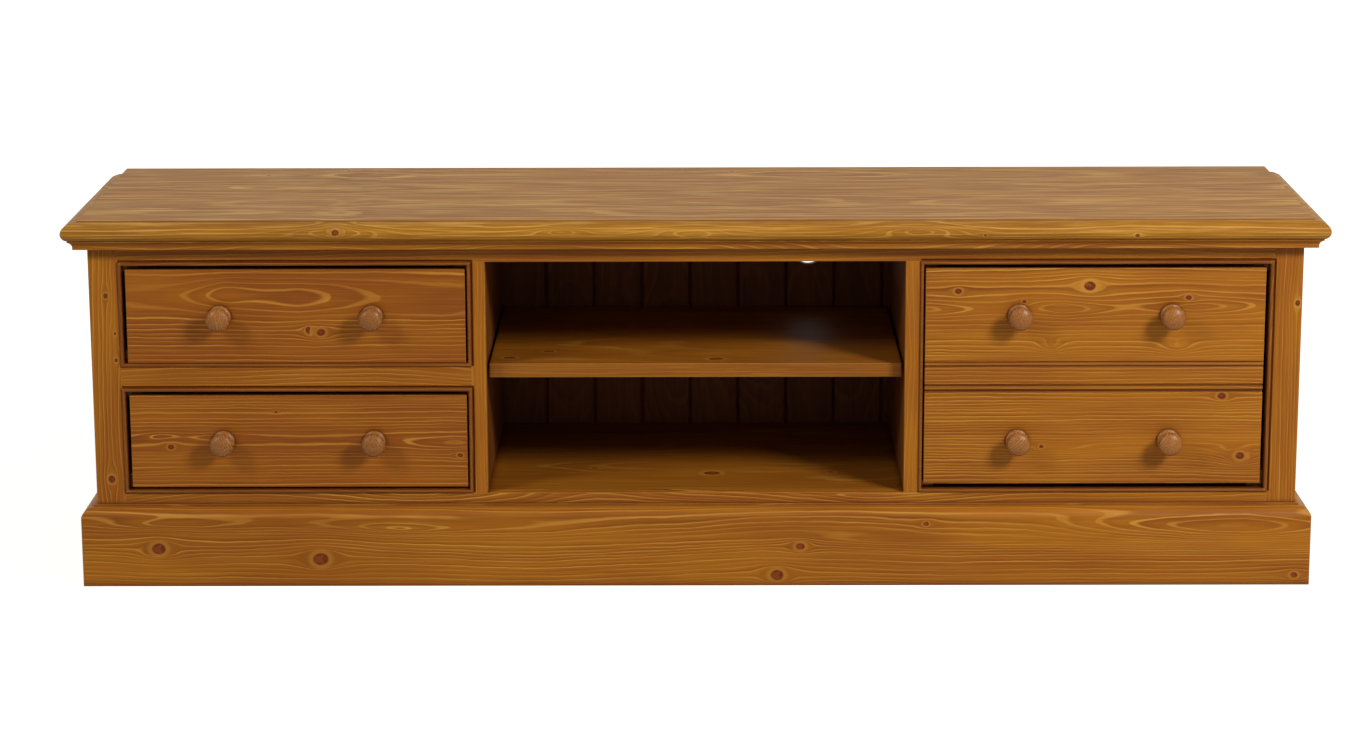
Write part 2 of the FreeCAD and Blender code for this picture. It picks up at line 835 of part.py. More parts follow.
def make_drawer(label, across, base, height, tail_count, front_maker, knob_pattern, knob_places):
    """A dovetailed drawer: front, two sides, back, bottom panel and knobs."""
    left, right = across
    top = f"{base} + {height} - side_drop"
    panel_low, panel_high = f"{base} + bottom_rise", f"{base} + bottom_rise + bottom_thick"
    panel_across = (f"{left} + drawer_side - panel_groove", f"{right} - drawer_side + panel_groove")
    panel = (panel_across, ("front_thick - panel_groove", "drawer_length"), (panel_low, panel_high))
    lap = ("lap", "front_thick")
    rear = ("drawer_length - drawer_side", "drawer_length")
    walls = {"left": (left, f"{left} + drawer_side"), "right": (f"{right} - drawer_side", right)}

    groove = box(f"{label}_groove", *panel)
    sockets, pins = [], []
    for side, wall in walls.items():
        name = f"{label}_side_{side}"
        full, above = f"{height} - side_drop", f"{height} - side_drop - bottom_rise - bottom_thick"
        front_tails = tails(f"{name}_front_tail", wall, lap, base, full, tail_count, True)
        rear_tails = tails(f"{name}_rear_tail", wall, rear, panel_high, above, tail_count, False)
        blank = [
            box(f"{name}_board", wall, ("front_thick", rear[0]), (base, top)),
            box(f"{name}_heel", wall, rear, (base, panel_high)),
            *front_tails,
            *rear_tails,
        ]
        node(cut(name, fuse(f"{name}_blank", blank), [groove]), name)
        sockets += front_tails
        pins += rear_tails

    front = front_maker(f"{label}_front_blank", across, base, height)
    tools = [*sockets, groove, *dowel_holes(label, knob_places)]
    node(cut(f"{label}_front", front, tools), f"{label}_front")
    back = box(f"{label}_back_blank", across, rear, (panel_high, top))
    node(cut(f"{label}_back", back, pins), f"{label}_back")
    node(box(f"{label}_bottom", *panel), f"{label}_bottom")
    knobs = []
    for index, (knob_across, knob_up) in enumerate(knob_places):
        knobs.append(copy_of(f"{label}_knob_{index}", knob_pattern, knob_across, "0", knob_up))
    group(f"{label}_knobs", knobs)


def make_drawers():
    """Two drawers on the left and the deep one on the right."""
    knob = make_knob_pattern()
    left = ("-drawer_out", "-drawer_in")
    right = ("drawer_in", "drawer_out")
    pair = ("-knob_spacing / 2", "knob_spacing / 2")
    upper = [(f"-(knob_middle) + {step}", "knob_high") for step in pair]
    lower = [(f"-(knob_middle) + {step}", "knob_low") for step in pair]
    deep = [(f"knob_middle + {step}", level) for level in ("knob_high", "knob_low") for step in pair]
    small = (SMALL_TAILS, plain_front, knob)
    make_drawer("upper_drawer", left, "upper_base", "upper_height", *small, upper)
    make_drawer("lower_drawer", left, "lower_base", "lower_height", *small, lower)
    make_drawer("deep_drawer", right, "deep_base", "deep_height", DEEP_TAILS, worked_front, knob, deep)


def spread(first, second, hand):
    """Orders two distances from the middle as a low and a high place on the given hand."""
    low, high = sorted((first, second), key=number)
    return (low, high) if hand > 0 else (f"-({high})", f"-({low})")


def make_runners():
    """Runners, guides, kickers and stops that carry each drawer in the carcase."""
    bays = (
        ("upper_drawer", -1, "upper_base", "upper_height", "upper_base - run_gap - runner_height"),
        ("lower_drawer", -1, "lower_base", "lower_height", "floor_level"),
        ("deep_drawer", 1, "deep_base", "deep_height", "floor_level"),
    )
    ways = (("outer", "panel_in", "drawer_out", -1), ("inner", "partition_out", "drawer_in", 1))
    whole = ("frame_thick", "back_face")
    over = ("max(frame_thick; front_thick) + kick_gap", "rail_face")
    stops = []
    for drawer, hand, base, height, foot in bays:
        bed = f"{base} - run_gap"
        kick = f"{base} + {height} - side_drop + kick_gap"
        runners, kickers = [], []
        for where, wall, edge, inward in ways:
            name = f"{drawer}_{where}"
            lip = f"{edge} + {inward} * (drawer_side + runner_lip)"
            fence = f"{edge} - {inward} * guide_gap"
            inside = f"{edge} + {inward} * drawer_side"
            under = spread(wall, lip, hand)
            beside = spread(wall, fence, hand)
            behind = ("drawer_length + run_gap", "back_face")
            above = (kick, f"{kick} + runner_height")
            runners.append(box(f"{name}_runner", under, whole, (foot, bed)))
            runners.append(box(f"{name}_guide", beside, whole, (bed, f"{bed} + guide_height")))
            kickers.append(box(f"{name}_kicker", under, over, above))
            catch = (bed, f"{bed} + stop_height")
            stops.append(box(f"{name}_stop", spread(edge, inside, hand), behind, catch))
        group(f"{drawer}_runners", runners)
        group(f"{drawer}_kickers", kickers)
    group("drawer_stops", stops)


def check_and_export():
    """Checks every object, then writes each piece to its own file."""
    doc.recompute()
    for item in doc.Objects:
        if "Invalid" in item.State or "Error" in item.State:
            raise RuntimeError(f"{item.Label} failed: {item.State}")
    os.makedirs("parts", exist_ok=True)
    for item in nodes:
        shape = item.Shape
        if shape.isNull() or not shape.isValid() or not shape.Solids:
            raise RuntimeError(f"{item.Label} has no valid solid")
        shape.exportStep(os.path.join("parts", f"{item.Label}.step"))
        print(f"{item.Label}: {len(shape.Solids)} solid(s)")
    print(f"{len(nodes)} pieces")


make_top()
make_mouldings()
make_carcase()
make_shelf()
make_face_frame()
make_beads()
make_back()
make_drawers()
make_runners()
check_and_export()
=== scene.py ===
"""Looks of a waxed pine television cabinet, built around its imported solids."""

import json
import logging
import math
import random
from dataclasses import dataclass, replace
from enum import Enum
from typing import Any

import bmesh
import bpy
from mathutils import Matrix, Vector

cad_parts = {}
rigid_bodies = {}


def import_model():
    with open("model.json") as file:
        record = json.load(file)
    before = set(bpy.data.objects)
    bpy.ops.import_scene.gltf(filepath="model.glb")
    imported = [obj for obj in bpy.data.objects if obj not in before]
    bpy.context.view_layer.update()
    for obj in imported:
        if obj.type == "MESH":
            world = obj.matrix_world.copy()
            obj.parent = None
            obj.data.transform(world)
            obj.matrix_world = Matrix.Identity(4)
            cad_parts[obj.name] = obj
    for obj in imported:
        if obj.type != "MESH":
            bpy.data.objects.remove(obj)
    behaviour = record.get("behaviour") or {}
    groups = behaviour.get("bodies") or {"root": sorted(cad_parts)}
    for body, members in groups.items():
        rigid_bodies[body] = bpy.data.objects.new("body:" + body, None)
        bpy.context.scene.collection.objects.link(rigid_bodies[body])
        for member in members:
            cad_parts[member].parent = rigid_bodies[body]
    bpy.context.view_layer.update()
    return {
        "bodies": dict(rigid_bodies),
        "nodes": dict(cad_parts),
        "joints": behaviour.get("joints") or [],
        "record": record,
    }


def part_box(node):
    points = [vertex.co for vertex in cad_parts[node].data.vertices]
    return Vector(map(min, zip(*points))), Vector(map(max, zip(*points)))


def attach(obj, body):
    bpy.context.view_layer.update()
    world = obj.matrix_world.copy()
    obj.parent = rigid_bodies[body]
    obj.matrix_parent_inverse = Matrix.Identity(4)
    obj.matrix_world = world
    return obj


LOG = logging.getLogger("cabinet")

MM = 0.001
# The lamps and the light of the white ground are a shade warmer than white.
WARM_WHITE = (1.0, 0.98, 0.95)
# Noise runs from 0 to 1, so this is taken off it where it has to stray both ways.
HALF = (0.5, 0.5, 0.5)
# What makes a span ease in and out.
SMOOTH = {"interpolation_type": "SMOOTHSTEP"}
# The Mix node's sockets by number, because several of them share a name.
FACTOR, VECTOR_A, VECTOR_B, COLOUR_A, COLOUR_B = 0, 4, 5, 6, 7
MIXED_VECTOR, MIXED_COLOUR = 1, 2


def linear(code: str) -> tuple[float, float, float, float]:
    """Turns an sRGB hex colour to a linear one.

    Args:
        code: The colour as "#rrggbb".

    Returns:
        Red, green, blue and a full alpha.
    """
    parts = [int(code[at : at + 2], 16) / 255 for at in (1, 3, 5)]
    scaled = [p / 12.92 if p <= 0.04045 else ((p + 0.055) / 1.055) ** 2.4 for p in parts]
    return (*scaled, 1.0)


def add(tree: bpy.types.NodeTree, kind: str, *given: Any, **settings: Any) -> bpy.types.Node:
    """Adds a node with its settings and links.

    Args:
        tree: The tree that gets the node.
        kind: The node's type, without its ShaderNode prefix.
        given: One value, socket or node for each input in order, or None to leave it. A dict gives
            them by the inputs' names or numbers instead.
        settings: The node's own settings.

    Returns:
        The new node.
    """
    node = tree.nodes.new(kind if kind.startswith("Node") else f"ShaderNode{kind}")
    for name, value in settings.items():
        setattr(node, name, value)
    pairs: list[tuple[Any, Any]] = []
    for index, item in enumerate(given):
        pairs += list(item.items()) if isinstance(item, dict) else [(index, item)]
    for key, value in pairs:
        if value is None:
            continue
        source = value.outputs[0] if isinstance(value, bpy.types.Node) else value
        if isinstance(source, bpy.types.NodeSocket):
            tree.links.new(source, node.inputs[key])
        else:
            node.inputs[key].default_value = source
    return node


def per(sizes: tuple[float, ...]) -> tuple[float, ...]:
    """Turns sizes in millimetres to scales, which are one over each."""
    return tuple(1 / size for size in sizes)


def cleared(owner: bpy.types.Material | bpy.types.World) -> bpy.types.NodeTree:
    """Turns on the nodes of a material or a world and takes away the ones it starts with.

    Args:
        owner: The material or the world.

    Returns:
        Its empty tree.
    """
    owner.use_nodes = True
    owner.node_tree.nodes.clear()
    return owner.node_tree


class Grain(Enum):
    """Which way a board's grain runs, and which face of it shows most.

    Each value lists the row's axes that run along the grain, across the face and into it.
    """

    LONG_FRONT = (0, 2, 1)
    LONG_TOP = (0, 1, 2)
    UPRIGHT_FRONT = (2, 0, 1)
    UPRIGHT_SIDE = (2, 1, 0)
    DEEP_SIDE = (1, 2, 0)


@dataclass(frozen=True)
class Knot:
    """A knot: its place along and across the grain, and its radius, in millimetres.

    One that runs across the board shows on its edge, and across is then its place in the depth.
    """

    along: float
    across: float
    radius: float
    on_edge: bool = False


@dataclass(frozen=True)
class Flame:
    """Closed, pointed loops where the face cuts a dip in the rings.

    Its place along and across the grain, its half length and half width are in millimetres, and
    rings is how many loops it has. One on a board's edge has its place in the depth as across.
    """

    along: float
    across: float
    half_length: float
    half_width: float
    rings: float
    on_edge: bool = False


@dataclass(frozen=True)
class Pine:
    """A finish on pine: the wood's own pattern, what was put on it, and its gloss.

    The colours are sRGB. The late wood of each ring takes less stain than the early wood, so it
    shows as a light line with a dark side. ring is the rings' spacing, and streak the length, width
    and depth of the fibres that are drawn, in millimetres. shades, lights, fibre and blotch say how
    strongly the dark sides, the light lines, the fibres and the stain's blotches show.

    wax is the dark wax. Ambient occlusion lays it within the wax reach, in millimetres, of a
    corner, and up to the wax most, so it is dark wax and painted corner shade in one. deep is a
    painted
    bounce light: the warm colour of a gap's depths, so that the gap isn't black. The rubbing field
    says how light the edges are, partly from wear and partly as a painted highlight.
    """

    name: str
    ground: str
    stain: str
    shade: str
    light: str
    knot: str
    wax: str
    ring: float = 4.8
    streak: tuple[float, float, float] = (160.0, 2.0, 2.0)
    shades: float = 0.75
    lights: float = 0.85
    fibre: float = 0.1
    blotch: float = 0.8
    roughness: float = 0.5
    ior: float = 1.4
    specular: float = 0.3
    # Dark wax and painted corner shade: how far from a corner, and how much at most.
    wax_and_shade_reach: float = 12.0
    wax_and_shade_most: float = 0.8
    # How light the edges are: partly wear, partly a painted highlight.
    rubbed: float = 0.6
    # A painted bounce light: the warm colour of a gap's depths.
    deep: str = "#d07a26"


# Honey-stained pine, brushed with dark wax and buffed with a cloth: a satin, warm surface whose
# late wood stands out light. Dark wax and painted corner shade fill every corner, and every edge
# is lighter, partly from wear and partly as a painted highlight.
HONEY = Pine(
    name="honey waxed pine",
    ground="#a7660f",
    stain="#8e4d0a",
    shade="#6e3605",
    light="#cd943b",
    knot="#7b350b",
    wax="#571e00",
)
# The left drawer fronts: a darker and redder copy of the honey finish.
RUSSET = replace(
    HONEY,
    name="russet waxed pine",
    ground="#9b590d",
    stain="#864409",
    light="#c98c35",
    shades=0.7,
)
# A front whose late wood stands out more.
STRIPED = replace(
    HONEY,
    name="striped honey waxed pine",
    ring=4.5,
    shades=0.95,
    lights=1.0,
    rubbed=0.7,
)
# Stiles and rails of straighter wood, whose lines show less than the drawer fronts'. Their dark wax
# and painted corner shade reach less far from a corner.
FRAME = replace(
    HONEY,
    name="straight honey waxed pine",
    shades=0.5,
    lights=0.55,
    wax_and_shade_reach=7.0,
)
# The same finish on the top board, its colours painted lighter and yellower as a painted sheen
# of the light that skims over it. It is seen at a slant, so its fibres are drawn 6 mm wide, much
# coarser than they are, to show at all.
TOP = replace(
    HONEY,
    name="rubbed waxed pine top",
    ground="#ab7216",
    stain="#9a6312",
    shade="#824e0f",
    light="#dcaa52",
    streak=(110.0, 6.0, 2.0),
    fibre=0.28,
    roughness=0.54,
    specular=0.33,
)
# The same finish deep in a bay or behind, painted darker as the shade that falls there: a shaded
# copy of the honey finish, its edges barely lightened.
SHADE = replace(
    HONEY,
    name="dark waxed pine inside the bay",
    ground="#6e3c0e",
    stain="#5a2e09",
    shade="#422007",
    light="#845826",
    lights=0.35,
    shades=0.45,
    roughness=0.58,
    rubbed=0.15,
    deep="#5a2e09",
)
# The shelf and the floor of the bay, painted darker than the front as the shade in the bay, with
# their edges lightened most, partly as wear and partly as a painted highlight.
SHELF = replace(
    HONEY,
    name="honey waxed pine shelf",
    ground="#965a0f",
    stain="#83490a",
    light="#c4903f",
    lights=0.35,
    shades=0.45,
    rubbed=1.0,
)
# The thin beads took more of the dark wax than the boards.
BEAD = replace(
    HONEY,
    name="dark waxed pine bead",
    ground="#80460c",
    stain="#6c380a",
    lights=0.3,
    shades=0.3,
)
# Bare planed pine of the drawer boxes and of what carries them: pale, dry and matt.
BARE = Pine(
    name="bare planed pine",
    ground="#d9b07a",
    stain="#cda066",
    shade="#b07c46",
    light="#e0bd8a",
    knot="#6e4324",
    wax="#8f6436",
    shades=0.7,
    lights=0.2,
    fibre=0.14,
    roughness=0.68,
    wax_and_shade_reach=6.0,
    wax_and_shade_most=0.35,
    rubbed=0.0,
    deep="#cda066",
)
# Knobs turned from close-grained pine and polished, so they look pinker and shine more.
TURNED = Pine(
    name="polished turned pine",
    ground="#995e23",
    stain="#864f1b",
    shade="#6a3a14",
    light="#b98650",
    knot="#5a2c10",
    wax="#45200a",
    ring=3.2,
    shades=0.55,
    lights=0.7,
    fibre=0.28,
    roughness=0.36,
    specular=0.36,
    wax_and_shade_reach=6.0,
    rubbed=0.3,
)


class Figure:
    """The shared node groups that draw pine: knots, flames and the rings themselves.

    Lengths are in millimetres. A span lists where a change starts and ends, and then, where it has
    four numbers, what it starts and ends with. A knot's spans are in its radii, and a ring's are in
    shares of the ring.
    """

    # The grain gives way within this many radii of a knot, and further along it than across.
    GRIP: float = 1.45
    GRIP_ALONG: float = 0.42
    # A knot is a little longer along the grain, and its edge is soft.
    KNOT_ALONG: float = 0.8
    KNOT_EDGE: tuple[float, ...] = (1.08, 0.86)
    # The bark round a knot is broken, so its dark rim is a crescent here and gone there.
    BARK_SCALE: float = 0.14
    BARK_SPAN: tuple[float, ...] = (0.35, 0.65, 0.1, 0.95)
    BARK_EDGE: tuple[float, ...] = (0.0, 0.25)
    # Round a knot lies a ring of pale wood.
    PALE_STARTS: tuple[float, ...] = (1.0, 1.25)
    PALE_ENDS: tuple[float, ...] = (1.3, 2.1, 1.0, 0.0)
    # A power under 2 makes a flame's ends pointed.
    POINTED: float = 1.5
    # The pith strays by some 15 mm in 600 mm, and small waves of 1.5 mm run through the rings.
    SWAY_LENGTH: float = 600.0
    SWAY: tuple[float, ...] = (0.0, 60.0, 80.0)
    WAVE_SIZE: tuple[float, ...] = (170.0, 36.0, 36.0)
    WAVE_SPAN: tuple[float, ...] = (0.0, 1.0, -3.0, 3.0)
    # Wet and dry years: the rings' widths differ.
    YEARS_LENGTH: float = 21.0
    YEARS_SPAN: tuple[float, ...] = (0.0, 1.0, -0.9, 0.9)
    # Where the stain took well the lines are strong, and elsewhere they nearly vanish.
    PATCH_SIZE: tuple[float, ...] = (260.0, 55.0, 55.0)
    PATCH_SPAN: tuple[float, ...] = (0.34, 0.6, 0.4, 1.0)
    # Late wood fills the last third of a ring, and its dark side lies before it.
    LINE_STARTS: tuple[float, ...] = (0.68, 0.84)
    LINE_ENDS: tuple[float, ...] = (0.94, 1.0, 1.0, 0.0)
    SIDE_STARTS: tuple[float, ...] = (0.15, 0.66)
    SIDE_ENDS: tuple[float, ...] = (0.66, 0.76, 1.0, 0.0)
    # By chance one ring shows more than the next.
    LINE_LUCK: tuple[float, ...] = (0.0, 0.9, 0.25, 1.0)
    SIDE_LUCK: tuple[float, ...] = (0.0, 1.0, 0.25, 1.0)

    def __init__(self) -> None:
        """Makes the three groups."""
        self.knot = self._knot_group()
        self.flame = self._flame_group()
        self.rings = self._ring_group()

    @staticmethod
    def _group(name: str, takes: dict[str, str], gives: dict[str, str]) -> tuple[Any, Any, Any]:
        """Starts a group with its sockets.

        Args:
            name: The group's name.
            takes: The type of each input by name.
            gives: The type of each output by name.

        Returns:
            The tree, its input node and its output node.
        """
        tree = bpy.data.node_groups.new(name, "ShaderNodeTree")
        for ways, way in ((takes, "INPUT"), (gives, "OUTPUT")):
            for socket, kind in ways.items():
                tree.interface.new_socket(socket, in_out=way, socket_type=f"NodeSocket{kind}")
        return tree, add(tree, "NodeGroupInput"), add(tree, "NodeGroupOutput")

    def _knot_group(self) -> bpy.types.NodeTree:
        """Grain that flows round a knot like water round a stone, with the knot's own marks.

        Returns:
            The group. Marks holds the knot's core, its dark rim and the pale wood round it.
        """
        gives = {"Place": "Vector", "Marks": "Vector"}
        takes = {**gives, "Centre": "Vector", "Face": "Vector", "Radius": "Float"}
        tree, start, end = self._group("grain round a knot", takes, gives)
        place, marks, centre, face, radius = start.outputs[:5]
        away = add(tree, "VectorMath", place, centre, operation="SUBTRACT")
        drawn_out = add(tree, "VectorMath", face, (self.GRIP_ALONG, 0.0, 0.0), operation="ADD")
        flat = add(tree, "VectorMath", away, drawn_out, operation="MULTIPLY")
        reach = add(tree, "Math", radius, self.GRIP, operation="MULTIPLY")
        squared = add(tree, "Math", reach, 2.0, operation="POWER")
        spread = add(tree, "VectorMath", flat, flat, operation="DOT_PRODUCT").outputs["Value"]
        outside = add(tree, "Math", spread, squared, operation="MAXIMUM")
        push = add(tree, "Math", squared, outside, operation="DIVIDE")
        across = add(tree, "VectorMath", away, face, operation="MULTIPLY")
        moved = add(tree, "VectorMath", {0: across, "Scale": push}, operation="SCALE")
        bent = add(tree, "VectorMath", place, moved, operation="SUBTRACT")

        rounded = add(tree, "VectorMath", face, (self.KNOT_ALONG, 0.0, 0.0), operation="ADD")
        own = add(tree, "VectorMath", away, rounded, operation="MULTIPLY")
        distance = add(tree, "VectorMath", own, operation="LENGTH").outputs["Value"]
        share = add(tree, "Math", distance, radius, operation="DIVIDE")
        core = add(tree, "MapRange", share, *self.KNOT_EDGE, **SMOOTH)
        around = add(tree, "TexNoise", {"Vector": away, "Scale": self.BARK_SCALE, "Detail": 1.0})
        inner = add(tree, "MapRange", around, *self.BARK_SPAN)
        past = add(tree, "Math", share, inner, operation="SUBTRACT")
        hollow = add(tree, "MapRange", past, *self.BARK_EDGE, **SMOOTH)
        rim = add(tree, "Math", core, hollow, operation="MULTIPLY")
        near = add(tree, "MapRange", share, *self.PALE_STARTS, **SMOOTH)
        far = add(tree, "MapRange", share, *self.PALE_ENDS, **SMOOTH)
        pale = add(tree, "Math", near, far, operation="MULTIPLY")
        found = add(tree, "CombineXYZ", core, rim, pale)
        most = add(tree, "VectorMath", marks, found, operation="MAXIMUM")
        tree.links.new(bent.outputs[0], end.inputs["Place"])
        tree.links.new(most.outputs[0], end.inputs["Marks"])
        return tree

    def _flame_group(self) -> bpy.types.NodeTree:
        """A dip in the rings, which the face cuts as closed, pointed loops.

        Returns:
            The group. Lift counts rings.
        """
        takes = {
            "Place": "Vector",
            "Lift": "Float",
            "Centre": "Vector",
            "Share": "Vector",
            "Rings": "Float",
        }
        tree, start, end = self._group("flame in the grain", takes, {"Lift": "Float"})
        place, lift, centre, share, rings = start.outputs[:5]
        away = add(tree, "VectorMath", place, centre, operation="SUBTRACT")
        scaled = add(tree, "VectorMath", away, share, operation="MULTIPLY")
        parts = add(tree, "SeparateXYZ", add(tree, "VectorMath", scaled, operation="ABSOLUTE"))
        along = add(tree, "Math", parts.outputs[0], self.POINTED, operation="POWER")
        aside = add(tree, "VectorMath", scaled, (0.0, 1.0, 1.0), operation="MULTIPLY")
        across = add(tree, "VectorMath", aside, aside, operation="DOT_PRODUCT").outputs["Value"]
        total = add(tree, "Math", along, across, operation="ADD")
        minus = add(tree, "Math", total, -1.0, operation="MULTIPLY")
        bell = add(tree, "Math", minus, operation="EXPONENT")
        depth = add(tree, "Math", rings, -1.0, operation="MULTIPLY")
        dip = add(tree, "Math", bell, depth, lift, operation="MULTIPLY_ADD")
        tree.links.new(dip.outputs[0], end.inputs["Lift"])
        return tree

    def _ring_group(self) -> bpy.types.NodeTree:
        """Growth rings of a log about a pith that wanders behind the face, and the fibres between.

        Returns:
            The group. Light is the late wood's line and Shade its dark side. Fibre and Blotch run
            from 0 to 1.
        """
        takes = {
            "Place": "Vector",
            "Lift": "Float",
            "Pith": "Vector",
            "Ring": "Float",
            "Stray": "Float",
            "Fine": "Vector",
        }
        gives = {"Light": "Float", "Shade": "Float", "Fibre": "Float", "Blotch": "Float"}
        tree, start, end = self._group("rings of a log", takes, gives)
        place, lift, pith, ring, astray, finest = start.outputs[:6]
        along = add(tree, "SeparateXYZ", place).outputs[0]
        slow_at = add(tree, "Math", along, 1 / self.SWAY_LENGTH, operation="MULTIPLY")
        given = {"W": slow_at, "Scale": 1.0, "Detail": 1.0}
        slow = add(tree, "TexNoise", given, noise_dimensions="1D").outputs["Color"]
        swing = add(tree, "VectorMath", slow, HALF, operation="SUBTRACT")
        full = add(tree, "VectorMath", swing, self.SWAY, operation="MULTIPLY")
        stray = add(tree, "VectorMath", {0: full, "Scale": astray}, operation="SCALE")
        near = add(tree, "VectorMath", place, per(self.WAVE_SIZE), operation="MULTIPLY")
        quick = add(tree, "TexNoise", {"Vector": near, "Scale": 1.0, "Detail": 3.0})
        wave = add(tree, "MapRange", quick, *self.WAVE_SPAN)
        shifted = add(tree, "VectorMath", place, pith, operation="SUBTRACT")
        swayed = add(tree, "VectorMath", shifted, stray, operation="ADD")
        section = add(tree, "VectorMath", swayed, (0.0, 1.0, 1.0), operation="MULTIPLY")
        radius = add(tree, "VectorMath", section, operation="LENGTH").outputs["Value"]
        waved = add(tree, "Math", radius, wave, operation="ADD")
        year = add(tree, "Math", waved, 1 / self.YEARS_LENGTH, operation="MULTIPLY")
        given = {"W": year, "Scale": 1.0, "Detail": 0.0}
        years = add(tree, "TexNoise", given, noise_dimensions="1D")
        uneven = add(tree, "MapRange", years, *self.YEARS_SPAN)
        count = add(tree, "Math", waved, ring, operation="DIVIDE")
        lifted = add(tree, "Math", count, lift, operation="ADD")
        index = add(tree, "Math", lifted, uneven, operation="ADD")
        part = add(tree, "Math", index, operation="FRACT")
        step = add(tree, "Math", index, operation="FLOOR")
        chance = add(tree, "TexWhiteNoise", {"W": step}, noise_dimensions="1D")
        luck = add(tree, "SeparateXYZ", chance.outputs["Color"])
        broad = add(tree, "VectorMath", place, per(self.PATCH_SIZE), operation="MULTIPLY")
        patches = add(tree, "TexNoise", {"Vector": broad, "Scale": 1.0, "Detail": 2.0})
        parted = add(tree, "SeparateXYZ", patches.outputs["Color"])
        strength = add(tree, "MapRange", parted.outputs[0], *self.PATCH_SPAN)

        rise = add(tree, "MapRange", part, *self.LINE_STARTS, **SMOOTH)
        fall = add(tree, "MapRange", part, *self.LINE_ENDS, **SMOOTH)
        line = add(tree, "Math", rise, fall, operation="MULTIPLY")
        bright = add(tree, "MapRange", luck.outputs[0], *self.LINE_LUCK)
        lit = add(tree, "Math", line, bright, operation="MULTIPLY")
        light = add(tree, "Math", lit, strength, operation="MULTIPLY")
        grow = add(tree, "MapRange", part, *self.SIDE_STARTS, **SMOOTH)
        drop = add(tree, "MapRange", part, *self.SIDE_ENDS, **SMOOTH)
        side = add(tree, "Math", grow, drop, operation="MULTIPLY")
        dark = add(tree, "MapRange", luck.outputs[1], *self.SIDE_LUCK)
        dim = add(tree, "Math", side, dark, operation="MULTIPLY")
        shade = add(tree, "Math", dim, strength, operation="MULTIPLY")

        # Fibres are drawn 2 mm wide or more, coarser than they are, to show at this distance.
        fine = add(tree, "VectorMath", place, finest, operation="MULTIPLY")
        given = {"Vector": fine, "Scale": 1.0, "Detail": 3.0, "Roughness": 0.6}
        fibre = add(tree, "TexNoise", given)
        for name, socket in (
            ("Light", light.outputs[0]),
            ("Shade", shade.outputs[0]),
            ("Fibre", fibre.outputs[0]),
            ("Blotch", parted.outputs[1]),
        ):
            tree.links.new(socket, end.inputs[name])
        return tree


# Small stray shifts, 3 mm along and 1.8 mm across, keep every line from looking ruled.
STRAY_SIZE = (30.0, 9.0, 9.0)
STRAY_REACH = (3.0, 1.8, 0.0)
# A flame on a front edge ends some 40 mm into the board.
EDGE_DEPTH = 40.0
# Each board comes from its own place along one log, and each strip of a board from anywhere in it.
BOARD_APART = 997.0
STRIP_SHIFT = (9000.0, 90.0, 40.0)
# A strip's shift is on average half of the most, so the pith is set that much further across.
STRIP_CENTRE = STRIP_SHIFT[1] / 2

# What the noises' middle values are turned to: blotches of stain, and dark and light fibres.
BLOTCH_SPAN = (0.38, 0.62)
DARK_FIBRE_SPAN = (0.5, 0.72)
LIGHT_FIBRE_SPAN = (0.5, 0.28)
# The strongest fibres show twice as much as the finish says.
FIBRE_MOST = 2
# How strongly the pale wood round a knot, its core and its rim show.
PALE, CORE, RIM = 0.3, 0.9, 0.75
# Edges are rounded off to 1.7 mm, and the more the normal turns there, the lighter they are:
# partly wear, partly a painted highlight.
EDGE_RADIUS, EDGE_RAYS = 1.7, 6
EDGE_WEAR_AND_HIGHLIGHT_SPAN = (0.98, 0.8)
# How open a place is, by ambient occlusion: dark wax and painted corner shade go where it is less
# open, cut back again in the gaps so they don't go black, and there a warm, lighter colour is a
# painted bounce light.
CORNER_RAYS = 8
WAX_AND_CORNER_SHADE_SPAN = (0.95, 0.45)
GAP_SHADE_CUT_SPAN = (0.12, 0.42, 0.05, 1.0)
GAP_LIGHT_SPAN = (0.26, 0.1)
# The late wood and the fibres stand 0.2 mm proud, softened to a fifth, and the gloss differs from
# fibre to fibre.
RELIEF, SOFTENED = 0.2, 0.2
GLOSS_SPAN = (0.2, 0.8)
GLOSSIER, DULLER = 0.05, 0.07


